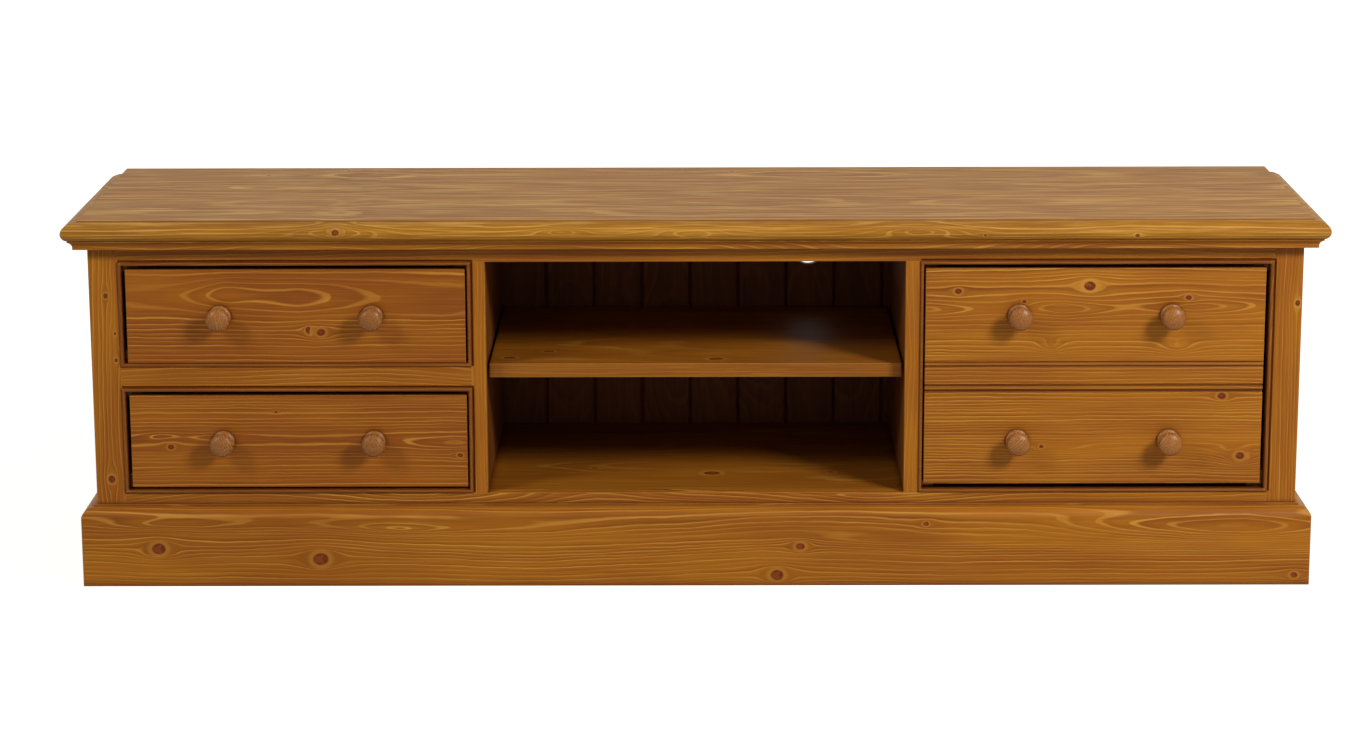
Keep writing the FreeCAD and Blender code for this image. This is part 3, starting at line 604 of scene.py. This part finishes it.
@dataclass(frozen=True)
class Board:
    """How one board was sawn: its finish, its grain, where its pith lay and the marks on its face.

    Places along and across the grain are in the row's frame, in millimetres. The pith is given as
    its place across the grain and its place in the depth, and stray is how freely it wanders. strip
    is the width of the strips of a glued-up board, or 0, and the pith is then the first strip's.
    upright gives the middle and half width beyond which a mitred frame's strips stand upright.
    """

    finish: Pine
    grain: Grain
    seed: float = 0.0
    pith: tuple[float, float] = (0.0, 0.0)
    knots: tuple[Knot, ...] = ()
    flames: tuple[Flame, ...] = ()
    stray: float = 1.0
    strip: float = 0.0
    strip_start: float = 0.0
    upright: tuple[float, float] | None = None

    def material(self, figure: Figure, name: str) -> bpy.types.Material:
        """Makes the board's material.

        Args:
            figure: The shared node groups.
            name: The name of the piece that it dresses.

        Returns:
            The material.
        """
        material = bpy.data.materials.new(f"{self.finish.name}, {name.replace('_', ' ')}")
        tree = cleared(material)
        place = self._turned(tree)
        drawn_out = add(tree, "VectorMath", place, per(STRAY_SIZE), operation="MULTIPLY")
        rough = add(tree, "TexNoise", {"Vector": drawn_out, "Scale": 1.0, "Detail": 1.0})
        about = add(tree, "VectorMath", rough.outputs["Color"], HALF, operation="SUBTRACT")
        stray = add(tree, "VectorMath", about, STRAY_REACH, operation="MULTIPLY")
        bent = add(tree, "VectorMath", place, stray, operation="ADD").outputs[0]
        marks = None
        for knot in self.knots:
            face = (0.0, 0.0, 1.0) if knot.on_edge else (0.0, 1.0, 0.0)
            takes = {
                "Place": bent,
                "Marks": marks,
                "Centre": (knot.along, *(part * knot.across for part in face[1:])),
                "Face": face,
                "Radius": knot.radius,
            }
            bent, marks = add(tree, "Group", takes, node_tree=figure.knot).outputs[:2]
        lift = None
        for flame in self.flames:
            width = 1 / flame.half_width
            on_edge = ((self.strip_start, flame.across), (1 / EDGE_DEPTH, width))
            centre, share = on_edge if flame.on_edge else ((flame.across, 0.0), (width, 0.0))
            takes = {
                "Place": bent,
                "Lift": lift,
                "Centre": (flame.along, *centre),
                "Share": (1 / flame.half_length, *share),
                "Rings": flame.rings,
            }
            lift = add(tree, "Group", takes, node_tree=figure.flame)
        takes = {
            "Place": self._from_log(tree, bent),
            "Lift": lift,
            "Pith": (0.0, *self.pith),
            "Ring": self.finish.ring,
            "Stray": self.stray,
            "Fine": per(self.finish.streak),
        }
        self._surface(tree, add(tree, "Group", takes, node_tree=figure.rings), marks)
        return material

    def _turned(self, tree: bpy.types.NodeTree) -> bpy.types.NodeSocket:
        """Measures a point along the grain, across it and into it, in millimetres.

        Args:
            tree: The material's tree.

        Returns:
            The socket with the place.
        """
        coords = add(tree, "TexCoord").outputs["Object"]
        scaled = add(tree, "VectorMath", coords, (1 / MM,) * 3, operation="MULTIPLY")
        axes = add(tree, "SeparateXYZ", scaled).outputs
        place = add(tree, "CombineXYZ", *[axes[axis] for axis in self.grain.value]).outputs[0]
        if self.upright is None:
            return place
        middle, half = self.upright
        standing = add(tree, "CombineXYZ", *[axes[axis] for axis in Grain.UPRIGHT_FRONT.value])
        from_middle = add(tree, "Math", axes[0], middle, operation="SUBTRACT")
        distance = add(tree, "Math", from_middle, operation="ABSOLUTE")
        beyond = add(tree, "Math", distance, half, operation="GREATER_THAN")
        takes = {FACTOR: beyond, VECTOR_A: place, VECTOR_B: standing}
        return add(tree, "Mix", takes, data_type="VECTOR").outputs[MIXED_VECTOR]

    def _from_log(self, tree: bpy.types.NodeTree, bent: bpy.types.NodeSocket) -> bpy.types.Node:
        """Takes the board, or each strip of a glued-up one, from a log of its own.

        Args:
            tree: The material's tree.
            bent: The socket with the place on the board.

        Returns:
            The node that gives the place in the log.
        """
        own_place = (self.seed * BOARD_APART, 0.0, 0.0)
        shift = add(tree, "VectorMath", bent, own_place, operation="ADD")
        if not self.strip:
            return shift
        across = add(tree, "SeparateXYZ", bent).outputs[1]
        from_start = add(tree, "Math", across, -self.strip_start, operation="ADD")
        ratio = add(tree, "Math", from_start, self.strip, operation="DIVIDE")
        index = add(tree, "Math", ratio, operation="FLOOR")
        start = add(tree, "Math", index, self.strip, operation="MULTIPLY")
        before = add(tree, "CombineXYZ", None, start)
        first = add(tree, "VectorMath", shift, before, operation="SUBTRACT")
        luck = add(tree, "TexWhiteNoise", {"W": index}, noise_dimensions="1D")
        away = add(tree, "VectorMath", luck.outputs["Color"], STRIP_SHIFT, operation="MULTIPLY")
        return add(tree, "VectorMath", first, away, operation="ADD")

    def _surface(self, tree: bpy.types.NodeTree, rings: bpy.types.Node, marks: Any) -> None:
        """Adds the colours, the dark wax and painted shade in corners, painted highlights on edges,
        painted bounce light in gaps, the gloss and the relief.

        Args:
            tree: The material's tree.
            rings: The node that draws the rings.
            marks: The socket that holds the knots' marks, or None.
        """
        finish = self.finish
        names = ("Light", "Shade", "Fibre", "Blotch")
        light, shade, fibre, blotch = [rings.outputs[name] for name in names]
        most = finish.fibre * FIBRE_MOST
        layers = [
            (add(tree, "MapRange", blotch, *BLOTCH_SPAN, 0.0, finish.blotch), finish.stain),
            (add(tree, "Math", shade, finish.shades, operation="MULTIPLY"), finish.shade),
            (add(tree, "Math", light, finish.lights, operation="MULTIPLY"), finish.light),
            (add(tree, "MapRange", fibre, *DARK_FIBRE_SPAN, 0.0, most), finish.shade),
            (add(tree, "MapRange", fibre, *LIGHT_FIBRE_SPAN, 0.0, most), finish.light),
        ]
        if marks is not None:
            core, rim, pale = add(tree, "SeparateXYZ", marks).outputs
            layers += [
                (add(tree, "Math", pale, PALE, operation="MULTIPLY"), finish.light),
                (add(tree, "Math", core, CORE, operation="MULTIPLY"), finish.knot),
                (add(tree, "Math", rim, RIM, operation="MULTIPLY"), finish.wax),
            ]
        # Edges turn lighter where the normal bends: partly wear, partly a painted highlight.
        edge = add(tree, "Bevel", {"Radius": EDGE_RADIUS * MM}, samples=EDGE_RAYS)
        true = add(tree, "NewGeometry").outputs["True Normal"]
        facing = add(tree, "VectorMath", edge, true, operation="DOT_PRODUCT").outputs["Value"]
        wear_and_highlight = add(tree, "MapRange", facing, *EDGE_WEAR_AND_HIGHLIGHT_SPAN, 0.0, finish.rubbed)
        # Dark wax and painted corner shade by ambient occlusion, cut back in gaps so they don't go
        # black.
        near = {"Distance": finish.wax_and_shade_reach * MM}
        openness = add(tree, "AmbientOcclusion", near, samples=CORNER_RAYS).outputs["AO"]
        closed = add(tree, "MapRange", openness, *WAX_AND_CORNER_SHADE_SPAN, 0.0, finish.wax_and_shade_most)
        gap_shade_cut = add(tree, "MapRange", openness, *GAP_SHADE_CUT_SPAN)
        waxed = add(tree, "Math", closed, gap_shade_cut, operation="MULTIPLY")
        # A painted bounce light: deep in a gap the colour turns warm and light.
        bare = add(tree, "MapRange", openness, *GAP_LIGHT_SPAN)
        layers += [(wear_and_highlight, finish.light), (waxed, finish.wax), (bare, finish.deep)]
        colour: Any = linear(finish.ground)
        for factor, tone in layers:
            takes = {FACTOR: factor, COLOUR_A: colour, COLOUR_B: linear(tone)}
            colour = add(tree, "Mix", takes, data_type="RGBA").outputs[MIXED_COLOUR]
        relief = add(tree, "Math", light, fibre, operation="ADD")
        takes = {"Strength": SOFTENED, "Distance": RELIEF * MM, "Height": relief, "Normal": edge}
        bump = add(tree, "Bump", takes)
        roughest = (finish.roughness - GLOSSIER, finish.roughness + DULLER)
        gloss = add(tree, "MapRange", fibre, *GLOSS_SPAN, *roughest)
        takes = {
            "Base Color": colour,
            "Roughness": gloss,
            "IOR": finish.ior,
            "Specular IOR Level": finish.specular,
            "Normal": bump,
        }
        add(tree, "OutputMaterial", add(tree, "BsdfPrincipled", takes))


# The radii of the knots that the photograph doesn't place.
SMALL_KNOT = (2.2, 5.0)


def scattered(piece: str, board: Board, count: int) -> Board:
    """Puts small knots at random places on a board that shows none of its own in the photograph.

    Args:
        piece: The solid's name, which also seeds the places.
        board: The board.
        count: How many knots it gets.

    Returns:
        The board with its knots.
    """
    low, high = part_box(piece)
    along, across, _ = board.grain.value
    chance = random.Random(piece)
    knots = tuple(
        Knot(
            chance.uniform(low[along], high[along]) / MM,
            chance.uniform(low[across], high[across]) / MM,
            chance.uniform(*SMALL_KNOT),
        )
        for _ in range(count)
    )
    return replace(board, knots=board.knots + knots)


@dataclass
class Workshop:
    """Dresses solids with boards."""

    frame: dict[str, Any]
    figure: Figure

    def dress(self, boards: dict[str, Board]) -> None:
        """Gives solids their materials.

        Args:
            boards: The board that each solid was sawn from, by the solid's name.
        """
        for name, board in boards.items():
            piece = self.frame["nodes"][name]
            piece.data.materials.clear()
            piece.data.materials.append(board.material(self.figure, name))
            LOG.info("%s: %s", name, board.finish.name)


@dataclass
class Top:
    """The top board, the bed moulding under it and the plinth.

    strip is the width of the top's glued boards, front where the first of them starts, and side how
    far out the piths of the plinth's ends lie. All are in millimetres.
    """

    strip: float = 119.0
    front: float = -238.0
    side: float = 850.0

    def dress(self, shop: Workshop) -> None:
        """Dresses the top and the mouldings.

        Args:
            shop: What dresses the solids.
        """
        top = Board(
            TOP,
            Grain.LONG_TOP,
            seed=3,
            pith=(self.front + self.strip / 2 + STRIP_CENTRE, 330),
            knots=(
                Knot(-509.7, 523.0, 4.0, on_edge=True),
                Knot(410.0, 517.5, 1.8, on_edge=True),
                Knot(626.0, 517.0, 2.6, on_edge=True),
            ),
            flames=(
                Flame(-509, 524, 62, 7, 4.0, on_edge=True),
                Flame(-190, 524, 34, 5, 2.6, on_edge=True),
                Flame(-6, 523, 50, 7, 3.2, on_edge=True),
                Flame(318, 524, 62, 8, 4.0, on_edge=True),
            ),
            stray=0.2,
            strip=self.strip,
            strip_start=self.front,
        )
        boards = {"top_board": scattered("top_board", top, count=4)}
        end = Board(HONEY, Grain.DEEP_SIDE)
        for more, (side, outward) in enumerate((("left", -self.side), ("right", self.side))):
            boards[f"bed_moulding_{side}"] = replace(end, seed=20 + more, pith=(460, 0))
            plinth = replace(end, seed=24 + more, pith=(60, outward))
            boards[f"plinth_{side}"] = scattered(f"plinth_{side}", plinth, count=2)
        level = Board(HONEY, Grain.LONG_FRONT)
        boards["bed_moulding_front"] = replace(level, seed=22, pith=(460, -180))
        boards["plinth_front"] = replace(
            level,
            seed=8,
            pith=(118, -180),
            knots=(
                Knot(-777.4, 56.1, 7.5),
                Knot(-543.0, 40.7, 8.5),
                Knot(117.7, 15.6, 7.0),
                Knot(150.8, 56.1, 5.0),
                Knot(333.0, 91.0, 3.0),
                Knot(865.9, 14.5, 4.0),
            ),
            flames=(
                Flame(-760, 88, 110, 10, 2.4),
                Flame(-440, 83, 150, 12, 3.2),
                Flame(-425, 84, 50, 5, 1.0),
                Flame(250, 66, 170, 8, 1.6),
                Flame(800, 82, 240, 22, 7.0),
            ),
            stray=0.3,
        )
        shop.dress(boards)


@dataclass
class FaceFrame:
    """The face frame and the beads that line its openings.

    In millimetres, middle is how far out the middles of the drawers' openings lie, and bead_half
    how far from there a bead frame's strips begin to stand upright.
    """

    middle: float = 571.0
    bead_half: float = 248.0

    def dress(self, shop: Workshop) -> None:
        """Dresses the frame's stiles and rails, and its beads.

        Args:
            shop: What dresses the solids.
        """
        stile = Board(FRAME, Grain.UPRIGHT_FRONT, stray=0.3)
        rail = Board(FRAME, Grain.LONG_FRONT, stray=0.3)
        left_knots = (
            Knot(426.5, -843.8, 3.0),
            Knot(370.2, -832.4, 1.8),
            Knot(331.9, -832.4, 2.4),
            Knot(155.4, -845.0, 4.5),
        )
        right_knots = (Knot(412.0, 861.0, 3.4),)
        boards = {
            "outer_stile_left": replace(stile, seed=31, pith=(-905, -150), knots=left_knots),
            "outer_stile_right": replace(stile, seed=32, pith=(930, -160), knots=right_knots),
            "mid_stile_left": replace(stile, seed=33, pith=(-260, -170)),
            "mid_stile_right": replace(stile, seed=34, pith=(280, -150)),
            "top_rail": replace(rail, seed=35, pith=(520, -160)),
            "middle_rail": replace(rail, seed=36, pith=(360, -150)),
            "bottom_rail": replace(rail, finish=STRIPED, seed=37, pith=(138, -196), stray=1.0),
        }
        bead = Board(BEAD, Grain.LONG_FRONT, pith=(600, -120))
        middles = {"upper_left": -self.middle, "lower_left": -self.middle, "right": self.middle}
        for more, (opening, middle) in enumerate(middles.items()):
            upright = (middle, self.bead_half)
            boards[f"bead_frame_{opening}"] = replace(bead, seed=40 + more, upright=upright)
        shop.dress(boards)


@dataclass
class Carcase:
    """The boards behind the face frame, the shelf and the back.

    strip is the width of the glued boards of the sides, the shelf and the floor, and face where the
    first of them starts. match_pitch is the width of the back's matched boards, one of which starts
    match_offset left of the middle. All are in millimetres.
    """

    strip: float = 110.0
    face: float = -202.0
    match_pitch: float = 74.7
    match_offset: float = 8.7

    def dress(self, shop: Workshop) -> None:
        """Dresses the carcase.

        Args:
            shop: What dresses the solids.
        """
        middle = self.face + self.strip / 2 + STRIP_CENTRE
        side = Board(
            HONEY,
            Grain.UPRIGHT_SIDE,
            seed=50,
            pith=(middle, 760),
            stray=0.25,
            strip=self.strip,
            strip_start=self.face,
        )
        level = replace(side, finish=SHELF, grain=Grain.LONG_TOP, seed=60, pith=(middle, 30))
        back = Board(
            SHADE,
            Grain.UPRIGHT_FRONT,
            seed=70,
            pith=(self.match_pitch / 2 + STRIP_CENTRE - self.match_offset, 120),
            strip=self.match_pitch,
            strip_start=-self.match_offset,
        )
        rough = Board(BARE, Grain.LONG_FRONT, seed=75)
        floor_knots = (Knot(24, -90, 9.0), Knot(-150, -60, 4.0), Knot(200, -85, 4.0))
        shelf_knots = (Knot(30, -150, 8.0), Knot(-270, -140, 7.0), Knot(-215, -100, 6.0))
        left = replace(side, pith=(middle, -760))
        right = replace(side, seed=51)
        boards = {
            "side_panel_left": scattered("side_panel_left", left, count=4),
            "side_panel_right": scattered("side_panel_right", right, count=4),
            "partition_left": replace(side, finish=SHADE, seed=52),
            "partition_right": replace(side, finish=SHADE, seed=53),
            "bottom_board": replace(level, knots=floor_knots),
            "centre_shelf": replace(level, seed=61, knots=shelf_knots),
            "shelf_pegs": Board(TURNED, Grain.DEEP_SIDE, seed=62),
            "back_boards": scattered("back_boards", back, count=5),
            "cable_board": back,
            "back_rail_top": rough,
            "back_rail_bottom": replace(rough, seed=76),
            "base_bearers": Board(BARE, Grain.DEEP_SIDE, seed=77),
            "top_cleats": replace(rough, seed=78),
        }
        shop.dress(boards)


@dataclass
class Drawer:
    """One drawer: its front, its box, its knobs and what it runs on.

    seed is the first of its boards' seeds, and panel the width of the strips of its bottom.
    """

    label: str
    seed: float
    front: Board
    panel: float = 95.0

    def dress(self, shop: Workshop) -> None:
        """Dresses the drawer.

        Args:
            shop: What dresses the solids.
        """
        bar = Board(BARE, Grain.DEEP_SIDE)
        bottom = Board(BARE, Grain.LONG_TOP, seed=self.seed + 4, strip=self.panel)
        boards = {
            "front": self.front,
            "side_left": replace(bar, seed=self.seed + 1, pith=(240, -300)),
            "side_right": replace(bar, seed=self.seed + 2, pith=(240, -300)),
            "back": Board(BARE, Grain.LONG_FRONT, seed=self.seed + 3, pith=(240, 120)),
            "bottom": scattered(f"{self.label}_bottom", bottom, count=3),
            "knobs": Board(TURNED, Grain.DEEP_SIDE, seed=self.seed + 5, pith=(560, 120)),
            "runners": replace(bar, seed=self.seed + 6),
            "kickers": replace(bar, seed=self.seed + 7),
        }
        shop.dress({f"{self.label}_{part}": board for part, board in boards.items()})


# The drawer fronts' knots and flames are where the photograph shows them.
UPPER_FRONT = Board(
    RUSSET,
    Grain.LONG_FRONT,
    seed=11,
    pith=(425, -141),
    knots=(Knot(-536.7, 371.8, 4.8), Knot(-555.3, 374.1, 2.8)),
    flames=(
        Flame(-672, 430, 50, 20, 1.7),
        Flame(-568, 418, 115, 32, 2.4),
        Flame(-360, 400, 80, 12, 0.9),
    ),
    stray=0.05,
)
LOWER_FRONT = Board(
    RUSSET,
    Grain.LONG_FRONT,
    seed=12,
    pith=(214, -185),
    knots=(Knot(-757.9, 203.0, 3.6), Knot(-604.6, 254.7, 1.6), Knot(-340, 190, 3.0)),
    flames=(
        Flame(-773, 218, 24, 6, 1.4),
        Flame(-350, 206, 70, 11, 2.2),
        Flame(-700, 217, 45, 6, 1.3),
    ),
    stray=0.15,
)
DEEP_FRONT = Board(
    STRIPED,
    Grain.LONG_FRONT,
    seed=13,
    pith=(408, -166),
    knots=(
        Knot(376.0, 430.4, 3.8),
        Knot(563.4, 437.9, 6.5),
        Knot(469.9, 416.5, 2.4),
        Knot(704.7, 421.2, 3.2),
        Knot(499.0, 202.4, 2.6),
        Knot(757.0, 277.0, 4.6),
        Knot(785.9, 188.5, 5.0),
    ),
    flames=(
        Flame(335, 405, 80, 13, 3.0),
        Flame(525, 407, 72, 14, 3.2),
        Flame(722, 408, 90, 12, 2.8),
        Flame(775, 192, 34, 12, 2.4),
        Flame(525, 200, 40, 6, 1.5),
        Flame(510, 351, 16, 12, 2.2),
        Flame(690, 347, 26, 11, 2.2),
    ),
    stray=0.1,
)


@dataclass(frozen=True)
class Steel:
    """Bright steel wire, headed and gone dull: a soft metal shine with faint brown specks.

    specks is one over their size in metres, a little under a millimetre. A span gives the noise's
    values between which the rust or the roughness changes, and what it starts and ends with.
    """

    name: str = "dull steel nail"
    bright: str = "#8f8c86"
    rust: str = "#6a4a30"
    specks: float = 1200.0
    rust_span: tuple[float, ...] = (0.5, 0.65, 0.0, 0.6)
    rough_span: tuple[float, ...] = (0.3, 0.7, 0.35, 0.55)

    def material(self) -> bpy.types.Material:
        """Makes the material.

        Returns:
            The material.
        """
        material = bpy.data.materials.new(self.name)
        tree = cleared(material)
        coords = add(tree, "TexCoord").outputs["Object"]
        takes = {"Vector": coords, "Scale": self.specks, "Detail": 2.0}
        specks = add(tree, "TexNoise", takes)
        rusty = add(tree, "MapRange", specks, *self.rust_span)
        takes = {FACTOR: rusty, COLOUR_A: linear(self.bright), COLOUR_B: linear(self.rust)}
        tone = add(tree, "Mix", takes, data_type="RGBA").outputs[MIXED_COLOUR]
        rough = add(tree, "MapRange", specks, *self.rough_span)
        takes = {"Base Color": tone, "Metallic": 1.0, "Roughness": rough}
        add(tree, "OutputMaterial", add(tree, "BsdfPrincipled", takes))
        return material


@dataclass
class BackNails:
    """Lost-head nails that hold the matchboard to the back rails, two to a board and rail.

    Sizes are in millimetres. The nails stand inset from a board's edges, in rows at two heights,
    and none is further out than half. profile lists how far out of the back each ring of a head
    lies and how wide it is, as shares of proud and of radius.
    """

    carcase: Carcase
    radius: float = 2.6
    proud: float = 0.5
    inset: float = 18.0
    half: float = 850.0
    rows: tuple[float, ...] = (489.0, 118.0)
    sides: int = 14
    profile: tuple[tuple[float, float], ...] = (
        (-1.5, 0.8),
        (0.1, 1.0),
        (0.75, 0.86),
        (1.0, 0.6),
        (0.9, 0.25),
    )

    def build(self) -> None:
        """Drives the nails."""
        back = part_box("back_boards")[1][1] / MM
        mesh = bpy.data.meshes.new("back_nails")
        steel = bmesh.new()
        pitch = self.carcase.match_pitch
        first = -int(self.half / pitch) - 1
        for index in range(first, -first):
            left = -self.carcase.match_offset + index * pitch
            for across in (left + self.inset, left + pitch - self.inset):
                for up in self.rows:
                    if abs(across) < self.half:
                        self._head(steel, across, back, up)
        steel.to_mesh(mesh)
        steel.free()
        nails = bpy.data.objects.new("back_nails", mesh)
        bpy.context.scene.collection.objects.link(nails)
        mesh.materials.append(Steel().material())
        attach(nails, "carcase")
        LOG.info("back_nails: %d faces", len(mesh.polygons))

    def _head(self, steel: bmesh.types.BMesh, across: float, back: float, up: float) -> None:
        """Turns one nail's head.

        Args:
            steel: The mesh that gets it.
            across: Its place across the back, in millimetres.
            back: Where the back's face is.
            up: Its height.
        """
        loops = []
        for out, wide in self.profile:
            ring = []
            for turn in range(self.sides):
                angle = 2 * math.pi * turn / self.sides
                reach = self.radius * wide
                x, z = across + reach * math.cos(angle), up + reach * math.sin(angle)
                ring.append(steel.verts.new(Vector((x, back + self.proud * out, z)) * MM))
            loops.append(ring)
        for low, high in zip(loops, loops[1:]):
            for turn in range(self.sides):
                after = (turn + 1) % self.sides
                steel.faces.new((low[turn], high[turn], high[after], low[after])).smooth = True
        steel.faces.new(loops[-1][::-1])


@dataclass(frozen=True)
class Lamp:
    """A square soft box: its place and its side in metres, and its power in watts."""

    name: str
    place: tuple[float, float, float]
    side: float
    power: float


@dataclass(frozen=True)
class Studio:
    """The floor, the lamps, the white ground and the camera.

    camera_place, lens and sensor are in millimetres, and the rest of the sizes in metres. The
    camera turns by yaw, pitch and roll, in radians. ground is how much the white ground lights the
    cabinet. The floor's own glow eases from floor_glow to 1 over glow_span, from the middle out.
    """

    camera_place: tuple[float, float, float] = (5.47, -5123.07, 1431.27)
    yaw: float = 0.0046
    pitch: float = -0.22433
    roll: float = 0.00273
    lens: float = 92.5
    sensor: float = 36.0
    ground: float = 0.13
    floor_half: float = 12.0
    floor_glow: float = 0.86
    glow_span: tuple[float, float] = (0.9, 2.2)
    aim: tuple[float, float, float] = (0.0, -0.1, 0.3)
    lamps: tuple[Lamp, ...] = (
        Lamp("right soft box", (2.75, -2.9, 2.65), 1.0, 148.5),
        Lamp("left soft box", (-3.5, -3.0, 3.2), 1.2, 84.0),
    )

    def build(self) -> None:
        """Sets up everything round the cabinet."""
        self._camera()
        self._world()
        self._floor()
        for lamp in self.lamps:
            self._hang(lamp)

    def _camera(self) -> None:
        """Puts the camera where the photograph was taken from."""
        data = bpy.data.cameras.new("camera")
        data.sensor_fit = "HORIZONTAL"
        data.sensor_width = self.sensor
        data.lens = self.lens
        camera = bpy.data.objects.new("camera", data)
        turn = (
            Matrix.Rotation(self.yaw, 4, "Z")
            @ Matrix.Rotation(self.pitch, 4, "X")
            @ Matrix.Rotation(self.roll, 4, "Y")
            @ Matrix.Rotation(math.pi / 2, 4, "X")
        )
        camera.matrix_world = Matrix.Translation(Vector(self.camera_place) * MM) @ turn
        bpy.context.scene.collection.objects.link(camera)
        bpy.context.scene.camera = camera

    def _world(self) -> None:
        """White to the camera and in reflections, dim as a source of light."""
        world = bpy.data.worlds.new("white ground")
        bpy.context.scene.world = world
        tree = cleared(world)
        shown = add(tree, "Background", {"Color": linear("#ffffff"), "Strength": 1.0})
        light = add(tree, "Background", {"Color": (*WARM_WHITE, 1.0), "Strength": self.ground})
        add(tree, "OutputWorld", add(tree, "MixShader", self._seen(tree), light, shown))

    @staticmethod
    def _seen(tree: bpy.types.NodeTree) -> bpy.types.Node:
        """Tells rays that see the ground, directly or in a reflection, from rays that light by it.

        Args:
            tree: The tree that gets the nodes.

        Returns:
            A node that gives 1 for a ray that sees.
        """
        path = add(tree, "LightPath").outputs
        mirrored, through = path["Is Glossy Ray"], path["Is Transmission Ray"]
        bounced = add(tree, "Math", mirrored, through, operation="MAXIMUM")
        return add(tree, "Math", path["Is Camera Ray"], bounced, operation="MAXIMUM")

    def _floor(self) -> None:
        """A white floor that shows the cabinet's shadow faintly and is pure white further out."""
        mesh = bpy.data.meshes.new("floor")
        half = self.floor_half
        corners = [(-half, -half, 0), (half, -half, 0), (half, half, 0), (-half, half, 0)]
        mesh.from_pydata(corners, [], [(0, 1, 2, 3)])
        floor = bpy.data.objects.new("floor", mesh)
        bpy.context.scene.collection.objects.link(floor)
        material = bpy.data.materials.new("white paper floor")
        tree = cleared(material)
        coords = add(tree, "TexCoord").outputs["Object"]
        distance = add(tree, "VectorMath", coords, operation="LENGTH").outputs["Value"]
        ease = add(tree, "MapRange", distance, *self.glow_span, self.floor_glow, 1.0, **SMOOTH)
        glow = add(tree, "Math", self._seen(tree), ease, operation="MULTIPLY")
        shine = add(tree, "Emission", {"Color": linear("#ffffff"), "Strength": glow})
        paper = add(tree, "BsdfDiffuse", {"Color": linear("#b9b5ad")})
        add(tree, "OutputMaterial", add(tree, "AddShader", shine, paper))
        mesh.materials.append(material)

    def _hang(self, lamp: Lamp) -> None:
        """Hangs one lamp that faces the cabinet.

        Args:
            lamp: The lamp.
        """
        data = bpy.data.lights.new(lamp.name, "AREA")
        data.shape = "SQUARE"
        data.size = lamp.side
        data.energy = lamp.power
        data.color = WARM_WHITE
        box = bpy.data.objects.new(lamp.name, data)
        box.location = lamp.place
        towards = Vector(self.aim) - Vector(lamp.place)
        box.rotation_euler = towards.to_track_quat("-Z", "Y").to_euler()
        bpy.context.scene.collection.objects.link(box)


def main() -> None:
    """Builds the cabinet's looks and its studio."""
    logging.basicConfig(level=logging.INFO, format="%(name)s: %(message)s")
    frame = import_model()
    Studio().build()
    shop = Workshop(frame, Figure())
    Top().dress(shop)
    FaceFrame().dress(shop)
    carcase = Carcase()
    carcase.dress(shop)
    Drawer("upper_drawer", 80, UPPER_FRONT).dress(shop)
    Drawer("lower_drawer", 90, LOWER_FRONT).dress(shop)
    Drawer("deep_drawer", 100, DEEP_FRONT).dress(shop)
    shop.dress({"drawer_stops": Board(BARE, Grain.UPRIGHT_FRONT, seed=115)})
    BackNails(carcase).build()
    bpy.context.scene.view_settings.view_transform = "Standard"


if __name__ == "__main__":
    main()
